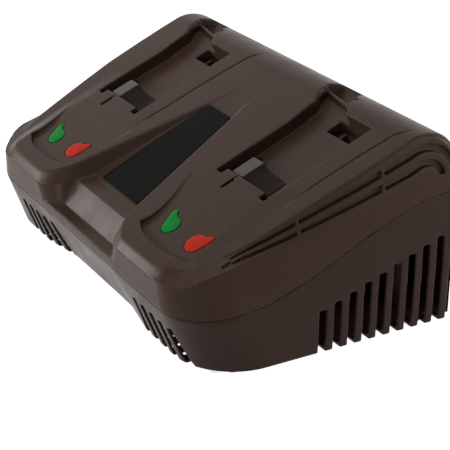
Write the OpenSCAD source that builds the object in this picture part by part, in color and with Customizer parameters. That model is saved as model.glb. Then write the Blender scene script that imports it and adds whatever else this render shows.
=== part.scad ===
// Two-bay slide-in battery charger, millimetres.
// +Z is up, +Y is towards the back wall, and the origin is on the table under the middle.
// Each bay is drawn in a frame that lies in its sloping top: X across, Y up the slope, Z out of it.

/* [Case] */
// Width across the sides
case_w = 264; // [262:1:266]
// Depth from the front lip to the back wall
case_d = 165; // [164:1:166]
// Slope of the top in degrees
tilt = 22.9; // [22.5:0.1:23.3]
// Height of the sloping top over the middle of the case
top_z = 88.75; // [88:0.25:90]
// Radius of the crest between the top and the back wall
crest_r = 24.8; // [24:0.1:25.5]
// Wall thickness of both shells
wall = 2.5; // [2.2:0.1:2.8]
// Height of the rubber feet below the case
foot_h = 2.5; // [2:0.5:3]

/* [Bays] */
// Distance between the middles of the two bays
bay_pitch = 150; // [149:1:151]
// Width of a bay's trough
trough_w = 49.6; // [49:0.1:50]
// Depth of a bay's trough, square to the slope
trough_h = 7.8; // [7.6:0.1:8]
// Travel of a terminal shutter
shutter_travel = 8; // [6:0.5:8]

/* [Vents] */
// Number of slots in each side
vent_count = 10; // [8:1:10]
// Distance from one side slot to the next
vent_pitch = 9.02; // [8.9:0.02:9.1]
// Width of a side slot
vent_w = 4.4; // [4:0.1:4.6]

/* [Hidden] */

case_brown = "#443a35";
base_brown = "#382e2a";
eps = 0.02;
reach = 200;

half_w = case_w / 2;
front_y = -case_d / 2;
back_y = case_d / 2;
slope = tan(tilt);
crest_y = back_y - crest_r;
crest_z = top_z + slope * crest_y - crest_r / cos(tilt);
bay_x = bay_pitch / 2;

// Heights of the outlines that the case is drawn through
base_front_y = front_y + 11.8;
part_front_z = 33.5;
lip_z = 48.8;
rim_front_y = front_y + 1.1;
shoulder_z = 72.3;
shoulder_slope = 0.263;

// Inset of the base's front wall between the lobes: its depth, and where it starts and ends
inset_depth = 5.1;
inset_half_w = [37, 66];

// Shoulder grooves: shares of the shoulder's height, where they start, and their webs
groove_shares = [[0.24, 0.41], [0.59, 0.76]];
groove_depth = 1.2;
groove_start_y = -66;
groove_web_y = [-16.5, 31.5];
web_w = 1.8;

// Channel between the lobes
channel_back_y = 18.5;
channel_floor_y = -56.5;
channel_floor_z = 54.7;
channel_slope = 0.559;
channel_base_z = 39;
channel_w = 100;
flank_turn = 25.2;
flank_lean = 0.35;
flank_xyz = [32.7, -62.4, 51.4];
lobe_corner_r = 10;
lobe_corner_growth = 0.22;

// Label plate, on the channel's floor
label_len = 74.2;
label_front_w = 45.2;
label_back_w = 27.8;
label_t = 0.8;
label_gap = 1.7;

// Bay, in the slope's frame
trough_front = -17.9;
trough_back = 48.2;
slot_front = -22.3;
slot_w = 5.2;
slot_h = 14;
bed_t = 2.5;
block_back = -2.8;
block_x = [-20, 12.4];
block_screw_x = [0, 9];
block_screw_y = -21.4;
flange_z = [-12.3, -10.4];
play = 0.3;

// Shutter, in the slope's frame
shutter_x = [-17.2, -6.8];
shutter_y = [-17.4, -1.95];
shutter_top = -1.5;
shutter_wall = 1.2;
tongue_x = [-16.4, -6.9];
tongue_front = -34;
tongue_top = -3.7;
spring_x = -11.7;
spring_z = -5.7;
spring_stop = -49.4;
spring_r = 1.5;
wire_r = 0.25;
blade_x = [-14.7, -12, -9.3];
blade_t = 0.8;

// Indicator lenses, in the slope's frame: middle, radius and where the nub is
lens_green = [[-6.7, -63.1], 5.6, [-7.6, 5]];
lens_red = [[19.5, -62.9], 6.2, [5.8, 5.1]];
nub_r = 2.3;
recess_angle = 3.85;
recess_back = -32;
led_board_z = -13.5;
led_pin_xy = [[-21, -60], [32, -56], [6, -69]];

// Board, feet, bosses and inlet, in the case's frame
board_z = 15;
board_t = 1.6;
board_y = [-52, 62];
board_half_w = 92;
socket_x = 63;
post_xy = [[-84, -44], [84, -44], [-84, 54], [84, 54]];
boss_xyz = [[-108, -34, 40], [108, -34, 40], [-104, 62, 46], [104, 62, 46]];
foot_xy = [[-117.5, -48.5], [117.5, -48.5], [-117.5, 62], [117.5, 62]];
floor_t = 3;
inlet_x = -58;
inlet_z = 24;
inlet_w = 24;
inlet_h = 16;

// --- Helpers -------------------------------------------------------------------------------

function rim_half_w(y) = half_w - 3.3 - 11.9 * pow((50 - y) / 112, 2);
function shoulder_half_w(y) = half_w - 7.3 * pow((50 - y) / 112, 2);
function rim_z(y) = top_z + slope * y;
function smooth(t) = let (u = min(max(t, 0), 1)) u * u * (3 - 2 * u);
// Height of the parting line between the shells at a depth
function parting_z(y) = part_front_z + 0.1 * (y + 80) + 29 * smooth((y + 45) / 111);
function arc(cx, cy, r, a0, a1, n) =
    [for (i = [0 : n]) let (a = a0 + (a1 - a0) * i / n) [cx + r * cos(a), cy + r * sin(a)]];
function mirrored(points) = [for (i = [len(points) - 1 : -1 : 0]) [-points[i].x, points[i].y]];

// A profile drawn in Y and Z, run across the case
module across(points, w = 2 * reach) {
    rotate([90, 0, 90]) linear_extrude(w, center = true) polygon(points);
}

// A box between two corners
module block(a, b) {
    translate(a) cube(b - a);
}

// The frame that lies in the sloping top, at a bay
module on_slope(x = 0) {
    translate([x, 0, top_z]) rotate([tilt, 0, 0]) children();
}

// The frame of the indicator recess, a little steeper than the top
module on_recess(x = 0) {
    on_slope(x) translate([0, recess_back, 0]) rotate([recess_angle, 0, 0])
        translate([0, -recess_back, 0]) children();
}

// A plan outline with round corners, symmetrical about X = 0
module plan(w, front, front_r, back, back_r) {
    right = concat(
        arc(w - front_r, front + front_r, front_r, -90, 0, 7),
        arc(w - back_r, back - back_r, back_r, 0, 90, 4)
    );
    polygon(concat(right, mirrored(right)));
}

// A plan outline that narrows to the front by a width function's values
module tapered_plan(ys, ws, front, front_r, front_w) {
    right = concat(
        arc(front_w - front_r, front + front_r, front_r, -90, -10, 6),
        [for (i = [0 : len(ys) - 1]) [ws[i], ys[i]]]
    );
    polygon(concat(right, mirrored(right)));
}

// The outside of the whole case, or the same form set inwards by a distance
module case_form(inset = 0) {
    rise = inset / cos(tilt);
    ys = [-38, -12, 14, crest_y - 9];
    hull() {
        translate([0, 0, foot_h + inset])
            linear_extrude(eps) plan(half_w - 1 - inset, base_front_y + inset, 35, back_y - inset, 12);
        translate([0, 0, part_front_z])
            linear_extrude(eps) plan(half_w - inset, front_y + 1.2 + inset, 31, back_y - inset, 12);
        translate([0, 0, lip_z - inset])
            linear_extrude(eps) plan(123 - inset, front_y + inset, 22, 0, 10);
        multmatrix([[1, 0, 0, 0], [0, 1, 0, 0], [0, slope, 1, top_z - rise], [0, 0, 0, 1]])
            linear_extrude(eps)
                tapered_plan(ys, [for (y = ys) rim_half_w(y) - inset], rim_front_y + inset, 24, 116.5 - inset);
        multmatrix([[1, 0, 0, 0], [0, 1, 0, 0], [0, shoulder_slope, 1, shoulder_z], [0, 0, 0, 1]])
            linear_extrude(eps)
                polygon([for (s = [-1, 1], y = [-64, -48, -30, -8, 20, 50]) [s * (shoulder_half_w(y) - inset), y]]);
        for (end = [[2.2, 0], [1, 1.2], [0, 4]])
            translate([0, crest_y, crest_z]) rotate([0, 90, 0])
                cylinder(h = case_w - 2 * inset - 2 * end[0] - 1.6, r = crest_r - inset - end[1],
                         center = true, $fn = 32);
    }
}

// The space over or under the parting line
module over_parting(shift = 0, up = true) {
    ys = [for (i = [0 : 20]) -90 + 9 * i];
    far = up ? reach : -10;
    across(concat([for (y = ys) [y, parting_z(y) + shift]], [[90, far], [-90, far]]));
}

// --- The upper shell's features ------------------------------------------------------------

// Side view of the channel; grow sinks its floor for the wall under it
module channel_profile(grow = 0) {
    drop = grow * 1.15;
    back_z = channel_floor_z + channel_slope * (channel_back_y - channel_floor_y);
    across([
        [channel_back_y + grow, back_z - drop + 0.6 * grow],
        [channel_floor_y, channel_floor_z - drop],
        [-65.3 + grow / 2, 52.9 - drop],
        [-73.9 + grow, channel_base_z + 0.3 - grow],
        [-95, channel_base_z - 0.4 - grow],
        [-95, reach],
        [channel_back_y + grow, reach]
    ], channel_w);
}

// The side of one lobe: a leaning flank and a round inner corner that widens upwards
module lobe_side(grow = 0) {
    hull() for (z = [30, 130]) {
        r = lobe_corner_r + lobe_corner_growth * (z - channel_base_z) - grow;
        foot_x = flank_xyz.x + flank_lean * (z - flank_xyz.z) + grow / cos(flank_turn);
        middle_y = front_y + r + grow;
        at_corner = foot_x - tan(flank_turn) * (middle_y - flank_xyz.y);
        at_back = foot_x - tan(flank_turn) * (60 - flank_xyz.y);
        translate([0, 0, z]) linear_extrude(eps) polygon(concat(
            arc(at_corner + r / cos(flank_turn), middle_y, r, 270, 180 + flank_turn, 5),
            [[at_back, 60], [reach, 60], [reach, front_y + grow]]
        ));
    }
}

module channel(grow = 0) {
    difference() {
        channel_profile(grow);
        lobe_side(grow);
        mirror([1, 0, 0]) lobe_side(grow);
    }
}

// One band of the shoulder grooves in side view, along the rim and round the crest
module shoulder_groove(shares) {
    tangent_y = crest_y - crest_r * sin(tilt);
    drop = rim_z(tangent_y) - shoulder_z - shoulder_slope * tangent_y;
    front = [for (s = shares)
        [groove_start_y, rim_z(groove_start_y) - s * (rim_z(groove_start_y) - shoulder_z
            - shoulder_slope * groove_start_y)]];
    outer = arc(crest_y, crest_z, crest_r - shares[0] * drop, 90 + tilt, 5, 12);
    inner = arc(crest_y, crest_z, crest_r - shares[1] * drop, 5, 90 + tilt, 12);
    difference() {
        across(concat([front[1], front[0]], outer, inner));
        for (y = groove_web_y) block([-reach, y - web_w / 2, 0], [reach, y + web_w / 2, reach]);
    }
}

module shoulder_grooves() {
    difference() {
        for (shares = groove_shares) shoulder_groove(shares);
        case_form(groove_depth);
    }
}

// Outline of a bay's trough in the slope's frame
module trough_outline() {
    w = trough_w / 2;
    polygon([
        [-w, trough_front], [w, trough_front], [w, trough_back], [0, trough_back],
        [-6, 54.3], [-36, 58.6], [-33, 51.6], [-28, 46.1], [-w, 26.6]
    ]);
}

// Outline of the hooked pocket behind the trough
module hook_outline(grow = 0) {
    polygon([[-7.5 + grow, 57 - grow], [-20 + grow, 72 + grow], [-38 - grow, 72 + grow],
             [-38 - grow, 60.5 - grow]]);
}

// Outline of the indicator recess
module recess_outline() {
    polygon([
        [-35, -32.5], [-31.2, -40.5], [-26.2, -50], [-23, -58.5], [-22, -66.5], [-23.8, -72.4],
        [-16, -75.8], [-8, -77.5], [0, -78.1], [9, -78.1], [18, -77.3], [26, -75.6], [32, -73],
        [34.8, -69.5], [37.5, -50], [39.9, -31]
    ]);
}

// Outline of a lens: a round body that runs out into a nub
module lens_outline(lens, grow = 0) {
    body = lens[1] + grow;
    nub = nub_r + grow;
    towards = atan2(lens[2].y, lens[2].x);
    lean = acos((lens[1] - nub_r) / norm(lens[2]));
    // The neck stays just inside the tangents, so that its sides cross the circles cleanly
    left = 0.99 * [cos(towards + lean), sin(towards + lean)];
    right = 0.99 * [cos(towards - lean), sin(towards - lean)];
    circle(r = body, $fn = 32);
    translate(lens[2]) circle(r = nub, $fn = 32);
    polygon([body * left, body * right, lens[2] + nub * right, lens[2] + nub * left]);
}

// Everything that is cut out of one bay
module bay_cuts() {
    w = trough_w / 2;
    translate([0, 0, -trough_h]) linear_extrude(60) trough_outline();
    // Rail slots beside the terminal block
    block([-w, slot_front, -slot_h], [-w + slot_w, 2, 40]);
    block([w - slot_w, slot_front, -slot_h], [w, -4, 40]);
    // Opening in the bed for the terminal block
    block([block_x[0], trough_front, -40], [block_x[1], block_back, 0]);
    // Latch pocket at the back of the bed, with the rib in it
    difference() {
        block([-8, 38, -24], [20, trough_back, -trough_h + 1]);
        block([1.2, 37, -40], [2.8, 44, -trough_h - 1.5]);
    }
    // Hooked pocket, and the low rib between it and the trough
    translate([0, 0, -20]) linear_extrude(60) hook_outline();
    translate([0, 0, -4]) linear_extrude(60)
        polygon([[-8, 53], [-8, 62], [-36, 66], [-36, 57.6]]);
    for (x = block_screw_x) translate([x, block_screw_y, -20]) cylinder(h = 17, r = 1.1);
    // Tunnel for the shutter and its spring, and the slit for its guide post
    block([shutter_x[0] - play, trough_front - shutter_travel - 0.6, -trough_h], [shutter_x[1] + play, 0, -1.2]);
    block([tongue_x[0] - play, spring_stop, -trough_h], [tongue_x[1] + play, 0, tongue_top + play]);
    block([-8.7, -29.7, -5], [-6.7, -19.4, 5]);
    // Groove along the panel's outer edge
    translate([0, 0, -0.9]) linear_extrude(40)
        polygon([[37.2, -29], [38.5, -17], [39.5, 27], [41.5, 51], [47, 60], [62, 68],
                 [61.5, 69], [46.2, 61], [40.5, 51.4], [38.5, 27], [37.5, -17]]);
}

// The solid that carries one bay, under the skin
module bay_bed() {
    w = trough_w / 2;
    t = bed_t;
    block([-w - t, slot_front - t, -trough_h - t], [w + t, trough_back + t, 0]);
    block([-w - t, slot_front - t, -slot_h - t], [-w + slot_w + t, 2 + t, 0]);
    block([w - slot_w - t, slot_front - t, -slot_h - t], [w + t, -4 + t, 0]);
    block([-8 - t, 38 - t, -24 - t], [20 + t, trough_back + t, 0]);
    translate([0, 0, -trough_h - t]) linear_extrude(trough_h + t)
        polygon([[-6, 46], [-3.5, 57], [-39.5, 62], [-36, 52], [-31, 46]]);
    translate([0, 0, -20 - t]) linear_extrude(20 + t) hook_outline(t);
    block([tongue_x[0] - play - t, spring_stop - t, -trough_h - t], [tongue_x[1] + play + t, 0, 0]);
}

module upper_shell() color(case_brown) {
    difference() {
        intersection() {
            case_form();
            over_parting();
        }
        difference() {
            case_form(wall);
            channel(wall);
            for (s = [-1, 1]) {
                on_slope(s * bay_x) bay_bed();
                on_recess(s * bay_x) {
                    block([-38, -82, -bed_t], [42, -30, 1]);
                    // Pins that carry the indicator board
                    for (p = led_pin_xy) translate([p.x, p.y, 0]) {
                        translate([0, 0, led_board_z + board_t]) cylinder(h = 14, r = 2.4);
                        translate([0, 0, led_board_z - 0.8]) cylinder(h = 14, r = 1);
                    }
                }
            }
            for (p = boss_xyz) translate([p.x, p.y, p.z]) cylinder(h = 90, r = 4.5);
        }
        channel();
        shoulder_grooves();
        for (s = [-1, 1]) {
            on_slope(s * bay_x) bay_cuts();
            on_recess(s * bay_x) {
                linear_extrude(40) recess_outline();
                for (l = [lens_green, lens_red]) translate([l[0].x, l[0].y, -10])
                    linear_extrude(20) lens_outline(l, 0.1);
            }
        }
        for (p = boss_xyz) translate([p.x, p.y, p.z - 1]) cylinder(h = 15, r = 1.4);
    }
}

// --- The lower shell -----------------------------------------------------------------------

// One comb slot in a side wall
module side_vent(i) {
    y = -3.1 + vent_pitch * i;
    top = 27.1 + 3.25 * i;
    block([half_w - 9, y - vent_w / 2, -1], [reach, y + vent_w / 2, top]);
}

// One leaning slot under a lobe
module front_vent(x) {
    translate([x, 0, 0]) rotate([0, -16, 0])
        block([-2.4, front_y - 5, -5], [2.4, base_front_y + 9, 24]);
}

// The space in front of the base's inset front wall; grow moves it into the case
module front_inset(grow = 0) {
    deep = base_front_y + inset_depth + grow;
    top_y = front_y + 1.5 + grow;
    hull() {
        translate([0, 0, foot_h - 1]) linear_extrude(eps) polygon([
            [-inset_half_w[1], base_front_y + grow], [-inset_half_w[0], deep],
            [inset_half_w[0], deep], [inset_half_w[1], base_front_y + grow],
            [inset_half_w[1], -reach], [-inset_half_w[1], -reach]
        ]);
        translate([0, 0, part_front_z]) linear_extrude(eps) polygon([
            [-inset_half_w[1], top_y - 0.5], [-inset_half_w[0], top_y], [inset_half_w[0], top_y],
            [inset_half_w[1], top_y - 0.5], [inset_half_w[1], -reach], [-inset_half_w[1], -reach]
        ]);
    }
}

module inlet_opening() {
    translate([inlet_x, back_y, inlet_z]) cube([inlet_w, 12, inlet_h], center = true);
}

module lower_shell() color(base_brown) {
    difference() {
        difference() {
            intersection() {
                case_form();
                over_parting(0, false);
            }
            difference() {
                case_form(wall);
                front_inset(wall);
                block([-reach, -reach, 0], [reach, reach, foot_h + floor_t]);
                for (p = boss_xyz) translate([p.x, p.y, 0]) cylinder(h = p.z, r = 5.2);
                for (p = post_xy) translate([p.x, p.y, 0]) cylinder(h = board_z, r = 4);
                // Ribs that back the mains inlet
                for (s = [-1, 1]) translate([inlet_x + s * (inlet_w / 2 + 3.5), back_y - 9, 0])
                    block([-1.2, 0, 0], [1.2, 8, 38]);
            }
        }
        front_inset();
        for (i = [0 : vent_count - 1]) {
            side_vent(i);
            mirror([1, 0, 0]) side_vent(i);
        }
        for (s = [-1, 1], i = [0 : 4]) front_vent(s * (bay_x + 1) + 14 + 10 * (i - 2));
        inlet_opening();
        // Counterbores and clearance holes for the case screws, and the board's screw holes
        for (p = boss_xyz) translate([p.x, p.y, 0]) {
            cylinder(h = p.z - 6, r = 3.4);
            cylinder(h = reach, r = 1.75);
        }
        for (p = post_xy) translate([p.x, p.y, board_z - 9]) cylinder(h = 20, r = 1.2);
        // Seats for the feet
        for (p = foot_xy) translate([p.x, p.y, -1]) cylinder(h = foot_h + 2.2, r = 6.1);
    }
}

// --- Small outside pieces ------------------------------------------------------------------

module label_plate() color("#15140f") {
    angle = atan(channel_slope);
    translate([0, channel_floor_y, channel_floor_z]) rotate([angle, 0, 0])
        translate([0, label_gap, 0]) linear_extrude(label_t) hull() {
            for (s = [-1, 1]) {
                translate([s * (label_front_w / 2 - 3), 3]) circle(r = 3, $fn = 32);
                translate([s * (label_back_w / 2 - 2.5), label_len - 3]) circle(r = 2.5, $fn = 32);
            }
        }
}

module lens(s, lens, colour) color(colour) on_recess(s * bay_x)
    translate([lens[0].x, lens[0].y, 0]) {
        translate([0, 0, -bed_t - 0.01]) linear_extrude(bed_t + 0.5) lens_outline(lens);
        translate([0, 0, -bed_t - 1.2]) linear_extrude(1.2) lens_outline(lens, 1.2);
    }

module foot(p) translate([p.x, p.y, 0]) {
    cylinder(h = 0.8, r1 = 5.4, r2 = 6);
    translate([0, 0, 0.8]) cylinder(h = foot_h + 0.4, r = 6);
}

module rubber_feet() color("#171514") for (p = foot_xy) foot(p);

// --- Terminals -----------------------------------------------------------------------------

module terminal_block(s) color("#2c2523") on_slope(s * bay_x) difference() {
    front = trough_front + play;
    back = block_back - play;
    union() {
        block([block_x[0] + 0.7, front, flange_z[0]], [block_x[1] - play, back, -trough_h]);
        // Flange under the panel for the screws, and the tab under the bay's floor
        block([-16.2, slot_front - 2, flange_z[0]], [block_x[1] - play, front + 1, flange_z[1]]);
        block([-12, back - 1, flange_z[0]], [8, 4, flange_z[1]]);
        // Ramp that guides the pack's foot
        difference() {
            block([-6.2, front, -trough_h - 1], [12, back, -0.9]);
            translate([12.2, -40, 20.9]) rotate([-90, 0, 0]) cylinder(h = 60, r = 28.7, $fn = 64);
        }
    }
    for (x = blade_x) block([x - blade_t / 2, -15, -40], [x + blade_t / 2, -4.6, 0]);
    for (x = block_screw_x) translate([x, block_screw_y, -30]) cylinder(h = 30, r = 1.4);
}

module contact_blades(s) color("#c9a24b") on_slope(s * bay_x) for (x = blade_x) {
    block([x - blade_t / 2, -15, -13.8], [x + blade_t / 2, -4.6, -4.5]);
    block([x - blade_t / 2, -11.5, -18.5], [x + blade_t / 2, -8, -13.8]);
}

module shutter(s) color("#52473f") on_slope(s * bay_x) difference() {
    union() {
        block([shutter_x[0], shutter_y[0], -trough_h + play], [shutter_x[1], shutter_y[1] - 1, shutter_top]);
        // Back end with a bevelled top edge
        hull() {
            block([shutter_x[0], shutter_y[1] - 1.2, -trough_h + play], [shutter_x[1], shutter_y[1], -2.5]);
            block([shutter_x[0], shutter_y[1] - 1.2, -trough_h + play],
                  [shutter_x[1], shutter_y[1] - 1, shutter_top]);
        }
        block([tongue_x[0], tongue_front, -trough_h + play], [tongue_x[1], shutter_y[0] + 1, tongue_top]);
        block([-8.4, -21.3, -5], [-7, -19.9, -0.4]);
    }
    block([shutter_x[0] + shutter_wall, shutter_y[0] + 1, -20],
          [shutter_x[1] - shutter_wall, shutter_y[1] - 1.5, shutter_top - shutter_wall]);
    for (x = blade_x) block([x - 0.8, -10, -20], [x + 0.8, 5, -3.8]);
    // Seat for the spring
    translate([spring_x, tongue_front - 1, spring_z]) rotate([-90, 0, 0]) cylinder(h = 3, r = 1.9);
}

// Compression spring: closed rings in a row, joined by straight wires on alternate sides
module shutter_spring(s) color("#b9bcc0") on_slope(s * bay_x) {
    turns = 7;
    first = spring_stop + wire_r;
    step = (tongue_front + 2 - wire_r - first) / turns;
    for (i = [0 : turns]) translate([spring_x, first + i * step, spring_z]) rotate([90, 0, 0])
        rotate_extrude($fn = 24) translate([spring_r, 0]) circle(r = wire_r, $fn = 16);
    for (i = [0 : turns - 1])
        translate([spring_x + (i % 2 == 0 ? spring_r : -spring_r), first + i * step, spring_z])
            rotate([-90, 0, 0]) cylinder(h = step, r = wire_r * 0.8, $fn = 16);
}

module block_screws() color("#8d8f92") for (s = [-1, 1], x = block_screw_x)
    on_slope(s * bay_x) translate([x, block_screw_y, flange_z[0] - 1.9]) pan_screw(2.4, 1.9, 1.1, 8);

// --- Electronics ---------------------------------------------------------------------------

module led_board(s) color("#1f5a35") on_recess(s * bay_x) difference() {
    block([-24.5, -72, led_board_z], [34, -53, led_board_z + board_t]);
    for (p = led_pin_xy) translate([p.x, p.y, led_board_z - 1]) cylinder(h = 5, r = 1.15);
}

module leds(s) color("#e9e6da") on_recess(s * bay_x) for (l = [lens_green, lens_red])
    translate([l[0].x, l[0].y, led_board_z + board_t]) {
        cylinder(h = 1, r = 2.9);
        translate([0, 0, 1]) cylinder(h = 3.6, r = 2.5);
        translate([0, 0, 4.6]) sphere(r = 2.5);
    }

module main_board() color("#2a6a3f") difference() {
    block([-board_half_w, board_y[0], board_z], [board_half_w, board_y[1], board_z + board_t]);
    for (p = post_xy) translate([p.x, p.y, 0]) cylinder(h = 60, r = 1.6);
}

top_of_board = board_z + board_t;

module transformer_core() color("#2b2b2d") translate([5, 24, top_of_board + 3]) difference() {
    block([-21, -9, 0], [21, 9, 40]);
    for (s = [-1, 1]) block([s * 10.5 - 4.5, -20, 7], [s * 10.5 + 4.5, 20, 33]);
}

module transformer_winding() color("#c8a13a") translate([5, 24, top_of_board]) {
    difference() {
        union() {
            for (z = [10.2, 34.2]) translate([0, 0, z]) block([-14.6, -15.5, 0], [14.6, 15.5, 1.6]);
            translate([0, 0, 11.7]) block([-13, -13.6, 0], [13, 13.6, 22.6]);
        }
        block([-6.2, -9.2, -10], [6.2, 9.2, 60]);
        for (s = [-1, 1]) block([s * 20.5 - 5.6, -9.2, -10], [s * 20.5 + 5.6, 9.2, 60]);
    }
    for (s = [-1, 1], i = [-2 : 2]) translate([s * 1, s * 14, 0]) {
        translate([i * 5, 0, 0]) cylinder(h = 10.3, r = 0.6, $fn = 16);
    }
}

module filter_choke() color("#b2703a") translate([-70, 38, top_of_board + 13.4]) rotate([0, 90, 0])
    rotate_extrude($fn = 48) translate([8.8, 0]) circle(r = 4.5, $fn = 32);

module capacitor(x, y, r, h) translate([x, y, top_of_board]) {
    cylinder(h = h - 1.2, r = r);
    translate([0, 0, h - 1.2]) cylinder(h = 1.2, r1 = r, r2 = r - 1.2);
}

module bulk_capacitor() color("#1d2a44") capacitor(-38, 24, 11, 34);

module output_capacitors() color("#20242e") {
    capacitor(62, -8, 6.2, 25);
    capacitor(-62, -8, 6.2, 25);
    capacitor(40, 2, 5.2, 20);
}

module heat_sink() color("#a9acb0") translate([62, 34, top_of_board]) {
    block([-26, 0, 0], [26, 4, 34]);
    for (i = [0 : 8]) block([-26 + i * 6.2, 4 - eps, 0], [-24.2 + i * 6.2, 16, 34]);
}

module power_transistors() color("#232325") for (i = [-1 : 1]) translate([62 + i * 15, 34, top_of_board]) {
    block([-5, -4.5, 6], [5, 0, 15.5]);
    block([-5, -1.3, 15.5 - eps], [5, 0, 21.5]);
    for (j = [-1 : 1]) block([j * 2.54 - 0.4, -3.1, 0], [j * 2.54 + 0.4, -2.5, 6 + eps]);
}

module fuse() color("#d8dde0") translate([-78, 8, top_of_board + 5]) rotate([90, 0, 0]) {
    cylinder(h = 20, r = 2.3, center = true);
    for (s = [-1, 1]) translate([0, 0, s * 7.75]) cylinder(h = 4.5, r = 2.6, center = true);
}

module fuse_clips() color("#c5b27a") for (s = [-1, 1]) translate([-78, 8 + s * 7.75, top_of_board]) difference() {
    union() {
        block([-3.4, -1.8, 0], [3.4, 1.8, 0.6]);
        for (t = [-1, 1]) translate([t * 3, 0, 0]) block([-0.4, -1.8, 0], [0.4, 1.8, 7]);
    }
    translate([0, 5, 5]) rotate([90, 0, 0]) cylinder(h = 10, r = 2.62);
}

module control_chips() color("#1b1b1d") {
    for (p = [[-30, -30, 10, 7.5], [0, -34, 14, 14], [34, -30, 10, 7.5], [8, -8, 8, 5]])
        translate([p[0], p[1], top_of_board]) block([-p[2] / 2, -p[3] / 2, 0], [p[2] / 2, p[3] / 2, 1.8]);
}

module lead_sockets() color("#ded8c6") for (s = [-1, 1]) translate([s * socket_x, -42, top_of_board])
    block([-6, -4, 0], [6, 4, 7]);

// Rigid stand-ins for the leads: straight runs with round joints
module wire_run(points, r) {
    for (i = [0 : len(points) - 2]) {
        d = points[i + 1] - points[i];
        l = norm(d);
        translate(points[i]) rotate([0, acos(d.z / l), atan2(d.y, d.x)]) cylinder(h = l, r = r, $fn = 16);
    }
    for (i = [1 : len(points) - 2]) translate(points[i]) sphere(r = 1.08 * r, $fn = 16);
}

// A point of the slope's frame at a bay, in the case's frame
function from_slope(x, p) = [x + p.x, p.y * cos(tilt) - p.z * sin(tilt),
                             top_z + p.y * sin(tilt) + p.z * cos(tilt)];

module output_leads(s) color("#a3262a") for (i = [0 : 2]) {
    foot = [s * socket_x + (i - 1) * 3.4, -42, top_of_board + 7];
    knee = from_slope(s * bay_x, [blade_x[i], -9.75, -24]);
    wire_run([foot, foot + [0, 0, 9], knee, from_slope(s * bay_x, [blade_x[i], -9.75, -18.5])], 1);
}

module inlet_leads() color("#3b5fa8") for (s = [-1, 1])
    translate([inlet_x + s * 4.3, back_y - 15.6, inlet_z]) {
        bend = 4;
        rotate([90, 0, 0]) cylinder(h = bend, r = 1);
        translate([0, -bend, -bend]) rotate([0, -90, 180])
            rotate_extrude(angle = 90) translate([bend, 0]) circle(r = 1, $fn = 24);
        translate([0, -2 * bend, top_of_board - inlet_z])
            cylinder(h = inlet_z - bend - top_of_board, r = 1);
    }

// --- Mains inlet ---------------------------------------------------------------------------

module inlet_socket_shape(r) {
    for (s = [-1, 1]) translate([s * 3.5, 0, 0]) cylinder(h = 14, r = r);
    block([-3.5, -r, 0], [3.5, r, 14]);
}

module mains_inlet() color("#1c1b1b") translate([inlet_x, back_y, inlet_z]) rotate([90, 0, 0])
    difference() {
        union() {
            translate([0, 0, 0.4]) block([-inlet_w / 2 + 0.2, -inlet_h / 2 + 0.2, 0],
                                         [inlet_w / 2 - 0.2, inlet_h / 2 - 0.2, 14.6]);
            block([-inlet_w / 2 - 1.6, -inlet_h / 2 - 1.6, wall], [inlet_w / 2 + 1.6, inlet_h / 2 + 1.6, wall + 1.8]);
        }
        translate([0, 0, -1]) inlet_socket_shape(4.4);
        for (s = [-1, 1]) translate([s * 4.3, 0, 0]) cylinder(h = 30, r = 1.2);
    }

module inlet_pins() color("#c8cacc") translate([inlet_x, back_y, inlet_z]) rotate([90, 0, 0])
    for (s = [-1, 1]) translate([s * 4.3, 0, 2]) cylinder(h = 13.5, r = 1.2);

// --- Screws --------------------------------------------------------------------------------

module pan_screw(head_r, head_h, shank_r, shank_h) {
    difference() {
        cylinder(h = head_h, r = head_r);
        translate([0, 0, -1]) cylinder(h = 1 + head_h * 0.6, r = head_r * 0.45, $fn = 6);
    }
    translate([0, 0, head_h]) cylinder(h = shank_h, r = shank_r);
}

module case_screws() color("#8d8f92") for (p = boss_xyz) translate([p.x, p.y, p.z - 6 - 2.4])
    pan_screw(3, 2.4, 1.4, 18);

module board_screws() color("#8d8f92") for (p = post_xy) translate([p.x, p.y, top_of_board + 2])
    mirror([0, 0, 1]) pan_screw(2.8, 2, 1.2, 8.5);

upper_shell();
lower_shell();
label_plate();
lens(-1, lens_green, "#008a3a");  // left_green_lens
lens(-1, lens_red, "#c8362f");  // left_red_lens
lens(1, lens_green, "#008a3a");  // right_green_lens
lens(1, lens_red, "#c8362f");  // right_red_lens
terminal_block(-1);  // left_terminal_block
terminal_block(1);  // right_terminal_block
contact_blades(-1);  // left_contact_blades
contact_blades(1);  // right_contact_blades
shutter(-1);  // left_shutter
shutter(1);  // right_shutter
shutter_spring(-1);  // left_shutter_spring
shutter_spring(1);  // right_shutter_spring
led_board(-1);  // left_led_board
led_board(1);  // right_led_board
leds(-1);  // left_leds
leds(1);  // right_leds
output_leads(-1);  // left_output_leads
output_leads(1);  // right_output_leads
main_board();
transformer_core();
transformer_winding();
filter_choke();
bulk_capacitor();
output_capacitors();
heat_sink();
power_transistors();
fuse();
fuse_clips();
control_chips();
lead_sockets();
mains_inlet();
inlet_pins();
inlet_leads();
rubber_feet();
board_screws();
block_screws();
case_screws();
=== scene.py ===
import logging
import math
from collections.abc import Callable
from dataclasses import dataclass, field
from enum import Enum

import bpy
import numpy as np
from mathutils import Matrix, Vector


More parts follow.
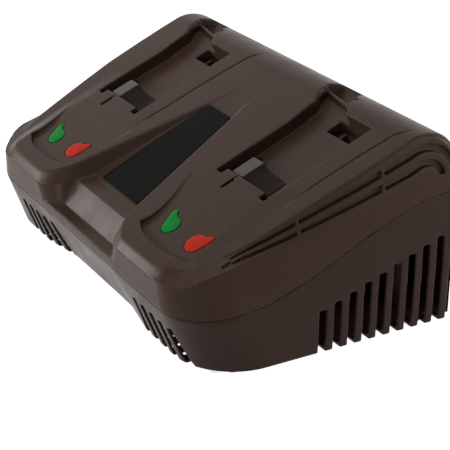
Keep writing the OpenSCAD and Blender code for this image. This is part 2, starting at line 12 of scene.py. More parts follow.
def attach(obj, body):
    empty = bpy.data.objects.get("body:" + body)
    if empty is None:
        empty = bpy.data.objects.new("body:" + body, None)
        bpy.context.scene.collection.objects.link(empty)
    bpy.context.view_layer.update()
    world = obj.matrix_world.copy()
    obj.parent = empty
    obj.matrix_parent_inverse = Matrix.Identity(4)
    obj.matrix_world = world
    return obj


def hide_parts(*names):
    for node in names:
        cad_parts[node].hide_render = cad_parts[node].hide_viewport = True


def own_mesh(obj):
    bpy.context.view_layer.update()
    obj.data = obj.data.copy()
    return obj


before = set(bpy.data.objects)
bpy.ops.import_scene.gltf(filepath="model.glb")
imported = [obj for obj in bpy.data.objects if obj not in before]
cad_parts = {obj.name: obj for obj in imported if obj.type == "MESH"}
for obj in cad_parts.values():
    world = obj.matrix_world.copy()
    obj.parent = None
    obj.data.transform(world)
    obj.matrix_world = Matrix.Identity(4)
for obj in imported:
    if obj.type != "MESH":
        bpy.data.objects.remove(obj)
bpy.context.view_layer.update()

logging.basicConfig(level=logging.INFO, format="%(message)s")
log = logging.getLogger("charger")

MM = 0.001
TILT = math.radians(22.9)
TOP_Z = 88.75
SLOPE = math.tan(TILT)
HALF_W = 131.9
FRONT_Y = -82.5
BACK_Y = 82.4
BAY_X = 75.0
WALL = 2.5
FOOT_H = 2.5
# The shells run into each other by this much on each side of the seam, so that no light comes through.
SEAM_LAP = 0.05
# Distance to the leaning seam for each millimetre of height over it.
SEAM_SHARE = 0.93
SEAM_EDGE = 0.5
FINE_STEP = 0.7
CASE_BODY = "case"
# Size of the broad mottling of a finish, how far its roughness varies, and its relief for each
# millimetre of grain.
MOTTLE_MM = 18.0
ROUGHNESS_SPREAD = 0.06
RELIEF_SHARE = 0.25

Array = np.ndarray
Corner = tuple[float, ...]
Outline = list[tuple[float, float]]
Form = Callable[[Array, Array, Array], Array]


# --- Distances, in millimetres: negative inside a form, positive outside ---------------------


def round_max(a: Array, b: Array, radius: float | Array) -> Array:
    """Intersection of two forms with its edge rounded.

    Args:
        a: Distance to the first form.
        b: Distance to the second form.
        radius: Radius of the edge.

    Returns:
        Distance to what the two forms share.
    """
    return np.minimum(np.maximum(a, b), -radius) + np.hypot(
        np.maximum(a + radius, 0), np.maximum(b + radius, 0)
    )


def round_min(a: Array, b: Array, radius: float | Array) -> Array:
    """Union of two forms with a fillet where they meet.

    Args:
        a: Distance to the first form.
        b: Distance to the second form.
        radius: Radius of the fillet.

    Returns:
        Distance to the two forms together.
    """
    return -round_max(-a, -b, radius)


def soft_clamp(t: Array, soft: float) -> Array:
    """A ramp from 0 to 1 whose two corners are rounded.

    Args:
        t: Position along the ramp.
        soft: Share of the ramp that each corner takes.

    Returns:
        The ramp's values.
    """
    low = np.clip(0.5 + 0.5 * t / soft, 0, 1)
    raised = t * low + soft * low * (1 - low)
    high = np.clip(0.5 + 0.5 * (1 - raised) / soft, 0, 1)
    return 1 - ((1 - raised) * high + soft * high * (1 - high))


def smooth_step(t: Array) -> Array:
    """An eased ramp from 0 to 1."""
    u = np.clip(t, 0, 1)
    return u * u * (3 - 2 * u)


def between(value: Array, low: float, high: float) -> Array:
    """Distance to the slab between two parallel planes."""
    return np.maximum(low - value, value - high)


def polygon(a: Array, b: Array, points: Outline) -> Array:
    """Distance to a closed outline in a plane.

    Args:
        a: First coordinate.
        b: Second coordinate.
        points: Corners of the outline.

    Returns:
        Signed distance, negative inside.
    """
    a, b = np.broadcast_arrays(a, b)
    nearest = np.full(a.shape, 1e9, np.float32)
    sign = np.ones(a.shape, np.float32)
    for (ax, ay), (bx, by) in zip(points, points[-1:] + points[:-1]):
        ex, ey = bx - ax, by - ay
        wx, wy = a - ax, b - ay
        share = np.clip((wx * ex + wy * ey) / (ex * ex + ey * ey), 0, 1)
        nearest = np.minimum(nearest, (wx - ex * share) ** 2 + (wy - ey * share) ** 2)
        above, below, left = b >= ay, b < by, ex * wy > ey * wx
        crossed = (above & below & left) | (~above & ~below & ~left)
        sign = np.where(crossed, -sign, sign)
    return sign * np.sqrt(nearest)


class Space(Enum):
    """The frame that a block of clay is laid out in."""

    LEVEL = "level"
    SLOPE = "slope"


@dataclass
class Clay:
    """A block of sampled distances that forms are added to and cut from."""

    space: Space
    low: Corner
    high: Corner
    step: float
    axes: list[Array] = field(default_factory=list)
    values: Array | None = None
    probe: float = 0.55
    crease: float = math.radians(16)

    def __post_init__(self) -> None:
        """Lays out the sample positions along each axis."""
        self.axes = [
            np.arange(lo, hi + self.step, self.step, dtype=np.float32)
            for lo, hi in zip(self.low, self.high)
        ]

    def grids(self, window: tuple[slice, slice, slice] | None = None) -> tuple[Array, ...]:
        """Broadcastable coordinates of the samples.

        Args:
            window: Index ranges, or None for the whole block.

        Returns:
            First, second and third coordinate arrays in the clay's own frame.
        """
        window = window or (slice(None),) * 3
        a, b, c = (axis[part] for axis, part in zip(self.axes, window))
        return a[:, None, None], b[None, :, None], c[None, None, :]

    def level(self, b: Array, c: Array) -> tuple[Array, Array]:
        """Depth and height in the case's frame of coordinates in the clay's frame.

        Args:
            b: Second coordinate.
            c: Third coordinate.

        Returns:
            Y and Z in millimetres.
        """
        if self.space is Space.LEVEL:
            return b, c
        return (
            b * math.cos(TILT) - c * math.sin(TILT),
            TOP_Z + b * math.sin(TILT) + c * math.cos(TILT),
        )

    def window(self, low: Corner, high: Corner, margin: float) -> tuple[slice, ...]:
        """Index ranges of the samples in and round a box.

        Args:
            low: Lowest corner.
            high: Highest corner.
            margin: Distance to add on each side.

        Returns:
            One slice for each axis.
        """
        parts = []
        for axis, lo, hi in zip(self.axes, low, high):
            start = int(np.searchsorted(axis, lo - margin))
            stop = int(np.searchsorted(axis, hi + margin))
            parts.append(slice(start, max(stop, start)))
        return tuple(parts)

    def cut(self, low: Corner, high: Corner, form: Form, edge: float) -> None:
        """Takes a form away from the clay.

        Args:
            low: Lowest corner of the box that holds the form.
            high: Highest corner of that box.
            form: Distance to the form at given coordinates.
            edge: Radius of the edge that the cut leaves.
        """
        part = self.window(low, high, WALL + 2.5)
        if all(s.stop > s.start for s in part):
            taken = form(*self.grids(part))
            self.values[part] = round_max(self.values[part], -taken, edge)

    def add(self, low: Corner, high: Corner, form: Form, fillet: float) -> None:
        """Joins a form to the clay.

        Args:
            low: Lowest corner of the box that holds the form.
            high: Highest corner of that box.
            form: Distance to the form at given coordinates.
            fillet: Radius of the fillet where it joins.
        """
        part = self.window(low, high, 2.5)
        if all(s.stop > s.start for s in part):
            put = form(*self.grids(part))
            self.values[part] = round_min(self.values[part], put, fillet)

    def cut_box(self, low: Corner, high: Corner, corner: float, edge: float = 0.6) -> None:
        """Takes away a box with rounded corners.

        Args:
            low: Lowest corner.
            high: Highest corner.
            corner: Radius inside the box.
            edge: Radius of the edge that the cut leaves.
        """
        self.cut(low, high, lambda a, b, c: box_form(a, b, c, low, high, corner), edge)

    def post(
        self, work: Callable[..., None], x: float, y: float, radius: float, low: float, high: float,
        edge: float,
    ) -> None:
        """Takes away a round hole along the third axis, or joins a post there.

        Args:
            work: The clay's own cut or add.
            x: First coordinate of the axis.
            y: Second coordinate of the axis.
            radius: Radius of the hole or post.
            low: Where it starts.
            high: Where it ends.
            edge: Radius of its edge or fillet.
        """
        work(
            (x - radius, y - radius, low), (x + radius, y + radius, high),
            lambda a, b, c: np.maximum(np.hypot(a - x, b - y) - radius, between(c, low, high)), edge,
        )

    def sample(self, own: Array) -> Array:
        """Distance at points between the samples.

        Args:
            own: Points in the clay's own frame.

        Returns:
            One distance for each point.
        """
        place = (own - np.array([axis[0] for axis in self.axes])) / self.step
        limit = np.array(self.values.shape) - 1.001
        place = np.clip(place, 0, limit)
        cell = place.astype(np.int32)
        share = place - cell
        total = np.zeros(len(own))
        for corner in ((i, j, k) for i in (0, 1) for j in (0, 1) for k in (0, 1)):
            weight = np.prod(np.where(corner, share, 1 - share), axis=1)
            i, j, k = (cell + corner).T
            total += weight * self.values[i, j, k]
        return total

    def facing(self, points: Array) -> Array:
        """Unit normals of the form.

        Args:
            points: Points in the case's frame in millimetres.

        Returns:
            One unit vector for each point.
        """
        own = points.astype(np.float64)
        turn = TILT if self.space is Space.SLOPE else 0.0
        rise = TOP_Z if self.space is Space.SLOPE else 0.0
        cos, sin = math.cos(turn), math.sin(turn)
        back = np.array([[1, 0, 0], [0, cos, sin], [0, -sin, cos]])
        own = (own - (0, 0, rise)) @ back.T
        half = np.eye(3) * self.step * self.probe
        slopes = np.stack([self.sample(own + way) - self.sample(own - way) for way in half], 1) @ back
        return slopes / np.maximum(np.linalg.norm(slopes, axis=1, keepdims=True), 1e-9)

    def shade(self, piece: bpy.types.Object) -> None:
        """Gives a mesh the form's own normals: smooth on its curves and split at its creases.

        Args:
            piece: A mesh made from this clay.
        """
        mesh = piece.data
        corner = np.empty(len(mesh.loops), np.int32)
        points = np.empty(3 * len(mesh.vertices), np.float32)
        sides = np.empty(len(mesh.polygons), np.int32)
        middles = np.empty(3 * len(mesh.polygons), np.float32)
        mesh.loops.foreach_get("vertex_index", corner)
        mesh.vertices.foreach_get("co", points)
        mesh.polygons.foreach_get("loop_total", sides)
        mesh.polygons.foreach_get("center", middles)
        points = points.reshape(-1, 3) / MM
        inwards = np.repeat(middles.reshape(-1, 3) / MM, sides, axis=0) - points[corner]
        far = np.linalg.norm(inwards, axis=1, keepdims=True)
        near = points[corner] + inwards * np.minimum(0.6, self.step / np.maximum(far, 1e-6))
        smooth, split = self.facing(points)[corner], self.facing(near)
        sharp = (smooth * split).sum(1) < math.cos(self.crease)
        smooth[sharp] = split[sharp]
        mesh.normals_split_custom_set(smooth)

    def surface(self) -> tuple[Array, Array]:
        """The skin where the distance is nought, as a net of four-sided faces.

        Returns:
            Points in the case's frame in millimetres, and the faces' point numbers.
        """
        values = self.values
        inside = values < 0
        cells = tuple(n - 1 for n in values.shape)
        corners = [(i, j, k) for i in (0, 1) for j in (0, 1) for k in (0, 1)]

        def corner(grid: Array, at: tuple[int, int, int]) -> Array:
            """The grid's values at one corner of every cell."""
            return grid[tuple(slice(o, o + n) for o, n in zip(at, cells))]

        filled = sum(corner(inside, at).astype(np.uint8) for at in corners)
        active = (filled > 0) & (filled < 8)
        number = np.full(cells, -1, np.int32)
        number[active] = np.arange(int(active.sum()))
        place = np.argwhere(active)
        at_corner = {at: corner(values, at)[active] for at in corners}
        total = np.zeros((len(place), 3), np.float32)
        count = np.zeros(len(place), np.float32)
        for one in corners:
            for axis in range(3):
                if one[axis]:
                    continue
                other = tuple(1 if i == axis else v for i, v in enumerate(one))
                a, b = at_corner[one], at_corner[other]
                crossing = (a < 0) != (b < 0)
                share = np.where(crossing, a / np.where(crossing, a - b, 1), 0)
                point = np.tile(np.array(one, np.float32), (len(place), 1))
                point[:, axis] += share
                total += point * crossing[:, None]
                count += crossing
        local = place + total / count[:, None]
        own = np.array([axis[0] for axis in self.axes]) + local * self.step
        faces = []
        for axis in range(3):
            ahead = [slice(0, n) for n in values.shape]
            behind = [slice(0, n) for n in values.shape]
            behind[axis] = slice(0, values.shape[axis] - 1)
            ahead[axis] = slice(1, values.shape[axis])
            change = inside[tuple(behind)] != inside[tuple(ahead)]
            p, q = [i for i in range(3) if i != axis]
            trimmed = [slice(None)] * 3
            trimmed[p] = slice(1, values.shape[p] - 1)
            trimmed[q] = slice(1, values.shape[q] - 1)
            where = np.argwhere(change[tuple(trimmed)])
            where[:, p] += 1
            where[:, q] += 1
            ring = []
            for dp, dq in ((-1, -1), (0, -1), (0, 0), (-1, 0)):
                cell = where.copy()
                cell[:, p] += dp
                cell[:, q] += dq
                ring.append(number[cell[:, 0], cell[:, 1], cell[:, 2]])
            quad = np.stack(ring, 1)
            outward = inside[where[:, 0], where[:, 1], where[:, 2]]
            flip = outward if axis == 1 else ~outward
            quad[flip] = quad[flip][:, ::-1]
            faces.append(quad)
        y, z = self.level(own[:, 1], own[:, 2])
        return np.stack([own[:, 0], y, z], 1), np.concatenate(faces)


def box_form(a: Array, b: Array, c: Array, low: Corner, high: Corner, corner: float) -> Array:
    """Distance to a box with rounded edges.

    Args:
        a: First coordinate.
        b: Second coordinate.
        c: Third coordinate.
        low: Lowest corner.
        high: Highest corner.
        corner: Radius of its edges.

    Returns:
        Signed distance.
    """
    sides = [between(value, lo, hi) for value, lo, hi in zip((a, b, c), low, high)]
    return round_max(round_max(sides[0], sides[1], corner), sides[2], corner)


# --- The case ------------------------------------------------------------------------------


def side_at_rim(y: Array) -> Array:
    """Half-width of the sloping top at a depth."""
    return HALF_W - 3.3 - 11.9 * ((50 - y) / 112) ** 2


def side_at_shoulder(y: Array) -> Array:
    """Half-width of the case under the shoulder at a depth."""
    return HALF_W - 7.3 * ((50 - y) / 112) ** 2


def shoulder_height(y: Array) -> Array:
    """Height of the crease under the shoulder, and of the front lip that it runs into."""
    return 70.3 + 0.263 * y + 3.6 * smooth_step((y + 78) / 14) - 1.6 * smooth_step((y + 62) / 40)


def roll_off(x: Array, y: Array) -> Array:
    """How far the top lies over its plane; it sinks towards the front edge and the front corners."""
    corner = 0.05 * np.minimum(y, 0) * smooth_step((np.abs(x) - 98) / 13.5)
    return corner - 1.4 * (np.clip(-70 - y, 0, 13) / 10) ** 2


def parting_height(y: Array) -> Array:
    """Height of the seam between the shells at a depth."""
    return 33.5 + 0.1 * (y + 80) + 29 * smooth_step((y + 45) / 111)


@dataclass
class CaseForm:
    """The outside of the case, before its bays, vents and holes."""

    base_front: float = -71.2
    base_corner: float = 35.0
    inset_depth: float = 5.4
    inset_half_w: tuple[float, float] = (37.0, 66.0)
    part_front: float = -81.3
    part_corner: float = 31.0
    part_z: float = 33.5
    lip_corner: float = 23.0
    rim_front: float = -79.8
    rim_corner: float = 24.0
    rim_edge: float = 1.3
    crest_radius: float = 24.8
    channel_turn: float = math.radians(25.2)
    flank_lean: float = 0.35
    lobe_corner: float = 10.0
    lobe_growth: float = 0.22
    crest_edge: float = 10.5
    crest_edge_start: float = 45.0
    crest_edge_run: float = 37.5
    groove_depth: float = 2.6
    groove_bands: tuple[tuple[float, float], ...] = ((0.24, 0.41), (0.59, 0.76))
    groove_share: float = 0.35
    groove_start: float = -66.0
    groove_foot: float = 88.5
    groove_level_y: float = 48.0
    groove_inner_x: float = 100.0
    groove_webs: tuple[float, ...] = (-16.5, 31.5)
    web_w: float = 1.8

    @property
    def crest(self) -> tuple[float, float]:
        """Y and Z of the crest's axis."""
        y = BACK_Y - self.crest_radius
        return y, TOP_Z + SLOPE * y - self.crest_radius / math.cos(TILT)

    def top(self, y: Array, z: Array) -> Array:
        """Distance to the profile of the sloping top, the crest and the back wall.

        Args:
            y: Depth.
            z: Height.

        Returns:
            Signed distance.
        """
        slope = (z - TOP_Z) * math.cos(TILT) - y * math.sin(TILT)
        dy, dz = y - self.crest[0], z - self.crest[1]
        round_part = (dy * math.cos(TILT) + dz * math.sin(TILT) > 0) & (dz > 0)
        return np.where(round_part, np.hypot(dy, dz) - self.crest_radius, np.maximum(slope, y - BACK_Y))

    def outline(
        self, x: Array, y: Array, half_w: Array | float, front: Array | float, corner: float
    ) -> Array:
        """Distance to a plan outline, which is open to the back.

        Args:
            x: Width coordinate.
            y: Depth coordinate.
            half_w: Half-width at each depth.
            front: Depth of the front wall.
            corner: Radius of the front corners.

        Returns:
            Signed distance.
        """
        return round_max(np.abs(x) - half_w, front - y, corner)

    def walls(self, x: Array, y: Array, z: Array) -> Array:
        """Distance to the walls: a loft through four plan outlines.

        Args:
            x: Width coordinate.
            y: Depth coordinate.
            z: Height coordinate.

        Returns:
            Signed distance.
        """
        full, none = self.inset_half_w
        inset = self.inset_depth * np.clip((none - np.abs(x)) / (none - full), 0, 1)
        base = self.outline(x, y, HALF_W - 1, self.base_front + inset, self.base_corner)
        part = self.outline(x, y, HALF_W, self.part_front, self.part_corner)
        lip = self.outline(x, y, side_at_shoulder(y), FRONT_Y, self.lip_corner)
        rim = self.outline(x, y, side_at_rim(y), self.rim_front, self.rim_corner)
        lip_z = shoulder_height(y)
        rim_z = np.maximum(TOP_Z + SLOPE * y + roll_off(x, y), lip_z + 1)
        wall = base
        for low, high, start, end, soft in (
            (FOOT_H, self.part_z, base, part, 0.04),
            (self.part_z, lip_z, part, lip, 0.01),
            (lip_z, rim_z, lip, rim, 0.01),
        ):
            rise = np.maximum(high - low, 0.5)
            share = soft_clamp((z - low) / rise, soft)
            lean = (end - start) / rise
            wall = (wall + share * (end - start)) / np.sqrt(1 + np.square(lean) * (share > 0) * (share < 1))
        return wall

    def flank(self, x: Array, y: Array, z: Array) -> Array:
        """Distance to the space between the two lobes, negative in a lobe."""
        foot = 32.7 + self.flank_lean * (z - 51.4) - math.tan(self.channel_turn) * (y + 62.4)
        return (foot - np.abs(x)) * math.cos(self.channel_turn) / math.hypot(1, self.flank_lean)

    def channel_floor(self, y: Array, z: Array) -> Array:
        """Distance to what lies under the channel's floor."""
        return polygon(y, z, [
            (60, 119.85), (18.5, 96.65), (-56.5, 54.7), (-65.3, 52.9),
            (-73.9, 39.3), (-95, 38.6), (-95, -60), (160, -60), (160, 119.85),
        ])

    def whole(self, x: Array, y: Array, z: Array) -> Array:
        """Distance to the whole case, with its channel and shoulder grooves.

        Args:
            x: Width coordinate.
            y: Depth coordinate.
            z: Height coordinate.

        Returns:
            Signed distance.
        """
        walls = self.walls(x, y, z)
        top = self.top(y, z)
        lobe_edge = self.lobe_corner + self.lobe_growth * np.clip(z - 39, 0, 40)
        lobes = round_max(walls, self.flank(x, y, z), lobe_edge)
        along = np.clip((y - self.crest_edge_start) / self.crest_edge_run, 0, 1)
        edge = self.rim_edge + self.crest_edge * along ** 3
        top = top - roll_off(x, y) * math.cos(TILT)
        lobes = round_max(lobes, top, edge)
        under = round_max(walls, self.channel_floor(y, z), 1.2)
        under = round_max(under, top, edge)
        fillet = 0.01 + np.clip(-np.maximum(walls, top) / 3, 0, 1)
        form = round_min(lobes, under, fillet)
        form = round_max(form, FOOT_H - z, 1.2)
        near = np.minimum(y, self.groove_level_y)
        drop = (TOP_Z + SLOPE * near + roll_off(x, near) - shoulder_height(near)) * math.cos(TILT)
        for start, end in self.groove_bands:
            band = np.abs(-top / drop - (start + end) / 2) * drop - (end - start) / 2 * drop
            band = np.maximum(band, self.groove_start - y)
            band = np.maximum(band, np.where(y > self.crest[0], self.groove_foot - z, -9))
            for web in self.groove_webs:
                band = np.maximum(band, self.web_w / 2 - np.abs(y - web))
            band = np.maximum(band, self.groove_inner_x - np.abs(x))
            depth = np.minimum(self.groove_depth, self.groove_share * drop)
            form = round_max(form, np.minimum(-band, walls + depth), 0.3)
        return form


@dataclass(frozen=True)
class Lens:
    """Outline of an indicator lens: a round body with a nub, drawn in at the waist on its back side."""

    middle: tuple[float, float]
    radius: float
    nub: tuple[float, float]
    nub_radius: float = 1.9
    waist: float = 2.0

    def form(self, a: Array, b: Array) -> Array:
        """Distance to the outline, measured from the middle of the body.

        Args:
            a: First coordinate on the panel.
            b: Second coordinate on the panel.

        Returns:
            Signed distance.
        """
        reach = math.hypot(*self.nub)
        ux, uy = self.nub[0] / reach, self.nub[1] / reach
        along, aside = a * ux + b * uy, np.abs(a * uy - b * ux)
        narrowing = (self.radius - self.nub_radius) / reach
        lean = math.sqrt(1 - narrowing ** 2)
        where = along * lean - aside * narrowing
        body = np.hypot(along, aside) - self.radius
        nub = np.hypot(along - reach, aside) - self.nub_radius
        neck = aside * lean + along * narrowing - self.radius
        whole = np.where(where < 0, body, np.where(where > reach * lean, nub, neck))
        stalk = np.hypot(along - np.clip(along, 0, reach), aside) - self.nub_radius
        at_back = math.copysign(1, ux) * (b * ux - a * uy) > 0
        return np.where(at_back, np.maximum(whole, round_min(body, stalk, self.waist)), whole)


@dataclass
class Bay:
    """What is cut out of one bay, in the frame of the sloping top."""

    x: float
    trough_w: float = 49.6
    trough_h: float = 7.8
    trough_front: float = -17.9
    trough_back: float = 48.2
    slot_front: float = -22.3
    slot_w: float = 5.2
    slot_h: float = 14.0
    # The CAD's latch and hook pockets are deeper, about 24 and 20 mm under the top.
    latch_depth: float = 15.0
    hook_depth: float = 11.0
    recess_turn: float = math.radians(3.85)
    recess_back: float = -32.0
    green: Lens = Lens((-6.7, -63.1), 5.6, (-7.5, 7.2))
    red: Lens = Lens((19.5, -62.9), 6.2, (5.4, 6.9))
    board_pins: tuple[tuple[float, float], ...] = ((-21, -60), (32, -56), (6, -69))

    def trough(self) -> Outline:
        """Outline of the trough."""
        w = self.trough_w / 2
        return [
            (-w, self.trough_front), (w, self.trough_front), (w, self.trough_back), (0, self.trough_back),
            (-6, 54.3), (-36, 58.6), (-33, 51.6), (-28, 46.1), (-w, 26.6),
        ]

    def recess(self) -> Outline:
        """Outline of the indicator recess."""
        return [
            (-35, -32.5), (-31.2, -40.5), (-26.2, -50), (-23, -58.5), (-22, -66.5), (-23.8, -72.4),
            (-16, -75.8), (-8, -77.5), (0, -78.1), (9, -78.1), (18, -77.3), (26, -75.6), (32, -73),
            (34.8, -69.5), (37.5, -50), (39.9, -31),
        ]

    def prism(self, points: Outline, low: float, high: float, corner: float) -> Form:
        """A form with a given outline between two depths below the top.

        Args:
            points: Outline in the slope's frame, measured from the bay's middle.
            low: Lower end.
            high: Upper end.
            corner: Radius between its bottom and its sides.

        Returns:
            A function that gives the distance.
        """
        return lambda a, b, c: round_max(polygon(a - self.x, b, points), between(c, low, high), corner)

    def carve(self, clay: Clay) -> None:
        """Cuts the bay out of the solid case, before its wall thickness is made.

        Args:
            clay: The solid case, in the slope's frame.
        """
        x, w = self.x, self.trough_w / 2
        recess_low, recess_high = (x - 40, -80, -8), (x + 42, -28, 6)
        outline = self.recess()
        turn = self.recess_turn

        def recess(a: Array, b: Array, c: Array) -> Array:
            """Distance to the space over the indicator panel."""
            above = (c * math.cos(turn)) - (b - self.recess_back) * math.sin(turn)
            return round_max(polygon(a - x, b, outline), -above, 0.7)

        clay.cut(recess_low, recess_high, recess, 0.7)
        clay.cut((x - 40, -20, -self.trough_h), (x + 30, 62, 30),
                 self.prism(self.trough(), -self.trough_h, 60, 1.2), 0.9)
        clay.cut_box((x - w, self.slot_front, -self.slot_h), (x - w + self.slot_w, 2, 40), 0.6)
        clay.cut_box((x + w - self.slot_w, self.slot_front, -self.slot_h), (x + w, -4, 40), 0.6)
        clay.cut_box((x - 17.5, -26.5, -self.trough_h), (x - 6.5, -10, -1.2), 0.3, 0.4)
        clay.cut_box((x - 16.7, -49.4, -self.trough_h), (x - 6.6, -10, -3.4), 0.3, 0.4)
        clay.cut_box((x - 8, 38, -self.latch_depth), (x + 20, self.trough_back, -4), 0.8, 0.6)
        clay.add((x + 1.2, 37, -17), (x + 2.8, 44, -9.5),
                 lambda a, b, c: box_form(a, b, c, (x + 1.2, 37, -17), (x + 2.8, 44, -9.5), 0.5), 0.5)
        hook = [(-7.5, 57), (-20, 72), (-38, 72), (-38, 60.5)]
        clay.cut((x - 38, 57, -self.hook_depth), (x - 7, 72, 20),
                 self.prism(hook, -self.hook_depth, 60, 0.8), 0.9)
        step = [(-8, 53), (-8, 62), (-36, 66), (-36, 57.6)]
        clay.cut((x - 36, 53, -4), (x - 8, 66, 20), self.prism(step, -4, 60, 0.5), 0.7)
        groove = [
            (37.2, -29), (38.5, -17), (39.5, 27), (41.5, 51), (47, 60), (62, 68),
            (61.5, 69), (46.2, 61), (40.5, 51.4), (38.5, 27), (37.5, -17),
        ]
        clay.cut((x + 37, -29, -1), (x + 62, 69, 20), self.prism(groove, -1, 40, 0.1), 0.15)

    def pierce(self, clay: Clay) -> None:
        """Cuts the holes that go through the bay's wall.

        Args:
            clay: The hollow shell, in the slope's frame.
        """
        x = self.x
        clay.cut_box((x - 20, self.trough_front, -40), (x + 12.4, -2.8, -5), 0.3, 0.3)
        clay.cut_box((x - 8.7, -29.7, -5), (x - 6.7, -19.4, 5), 0.6, 0.3)
        for lens in (self.green, self.red):
            (u, v), r = lens.middle, lens.radius + 6
            clay.cut((x + u - r, v - r, -14), (x + u + r, v + r, 6),
                     lambda a, b, c, u=u, v=v, lens=lens: lens.form(a - x - u, b - v) - 0.12 + 0 * c, 0.3)

    def on_panel(self, b: Array, c: Array) -> tuple[Array, Array]:
        """Coordinates along and out of the indicator panel.

        Args:
            b: Second coordinate in the slope's frame.
            c: Third coordinate in the slope's frame.

        Returns:
            The same two in the panel's frame.
        """
        cos, sin = math.cos(self.recess_turn), math.sin(self.recess_turn)
        along = b - self.recess_back
        return self.recess_back + along * cos + c * sin, c * cos - along * sin

    def add_pins(self, clay: Clay) -> None:
        """Joins the pins that carry the indicator board.

        Args:
            clay: The hollow shell, in the slope's frame.
        """
        for u, v in self.board_pins:
            for radius, foot in ((2.4, -11.9), (1.0, -14.3)):

                def pin(a: Array, b: Array, c: Array, u: float = u, v: float = v) -> Array:
                    """Distance to the pin."""
                    along, out = self.on_panel(b, c)
                    return np.maximum(np.hypot(a - self.x - u, along - v) - radius, between(out, foot, -1))

                clay.add((self.x + u - 3, v - 4, foot - 1), (self.x + u + 3, v + 4, 1), pin, 0.4)


# --- Finishes ------------------------------------------------------------------------------


class Grain(Enum):
    """What the surface of a finish shows close up."""

    SPARKED = "fine pits of a spark-eroded mould"
    POLISHED = "faint ripples of a polished mould"
    DRAWN = "fine lines along the metal"
    BOARD = "copper tracks under the solder mask"
    WOUND = "turns of wire side by side"
    LAYERED = "turns of tape over each other"
    SINTERED = "coarse pressed grains"
    RUBBED = "dull bloom of rubber"
    CLEAR = "even"


def linear(colour: str) -> tuple[float, float, float, float]:
    """An sRGB hex colour as linear values.

    Args:
        colour: The colour, such as "#4a3f3a".

    Returns:
        Red, green, blue and an alpha of 1.
    """
    parts = [int(colour[i:i + 2], 16) / 255 for i in (1, 3, 5)]
    values = [v / 12.92 if v <= 0.04045 else ((v + 0.055) / 1.055) ** 2.4 for v in parts]
    return values[0], values[1], values[2], 1.0


def add_node(
    tree: bpy.types.NodeTree, kind: str, settings: dict | None = None, **inputs: object
) -> bpy.types.Node:
    """Adds a node with its settings, values and links.

    Args:
        tree: Tree to add it to.
        kind: Blender's name of the node's type.
        settings: Properties of the node.
        **inputs: Values or source sockets, by input name with _ for a space.

    Returns:
        The node.
    """
    made = tree.nodes.new(kind)
    for key, value in (settings or {}).items():
        setattr(made, key, value)
    for key, value in inputs.items():
        name = key.replace("_", " ")
        socket = made.inputs[int(key[1:])] if key[1:].isdigit() else made.inputs[name]
        if isinstance(value, bpy.types.NodeSocket):
            tree.links.new(value, socket)
        else:
            socket.default_value = value
    return made


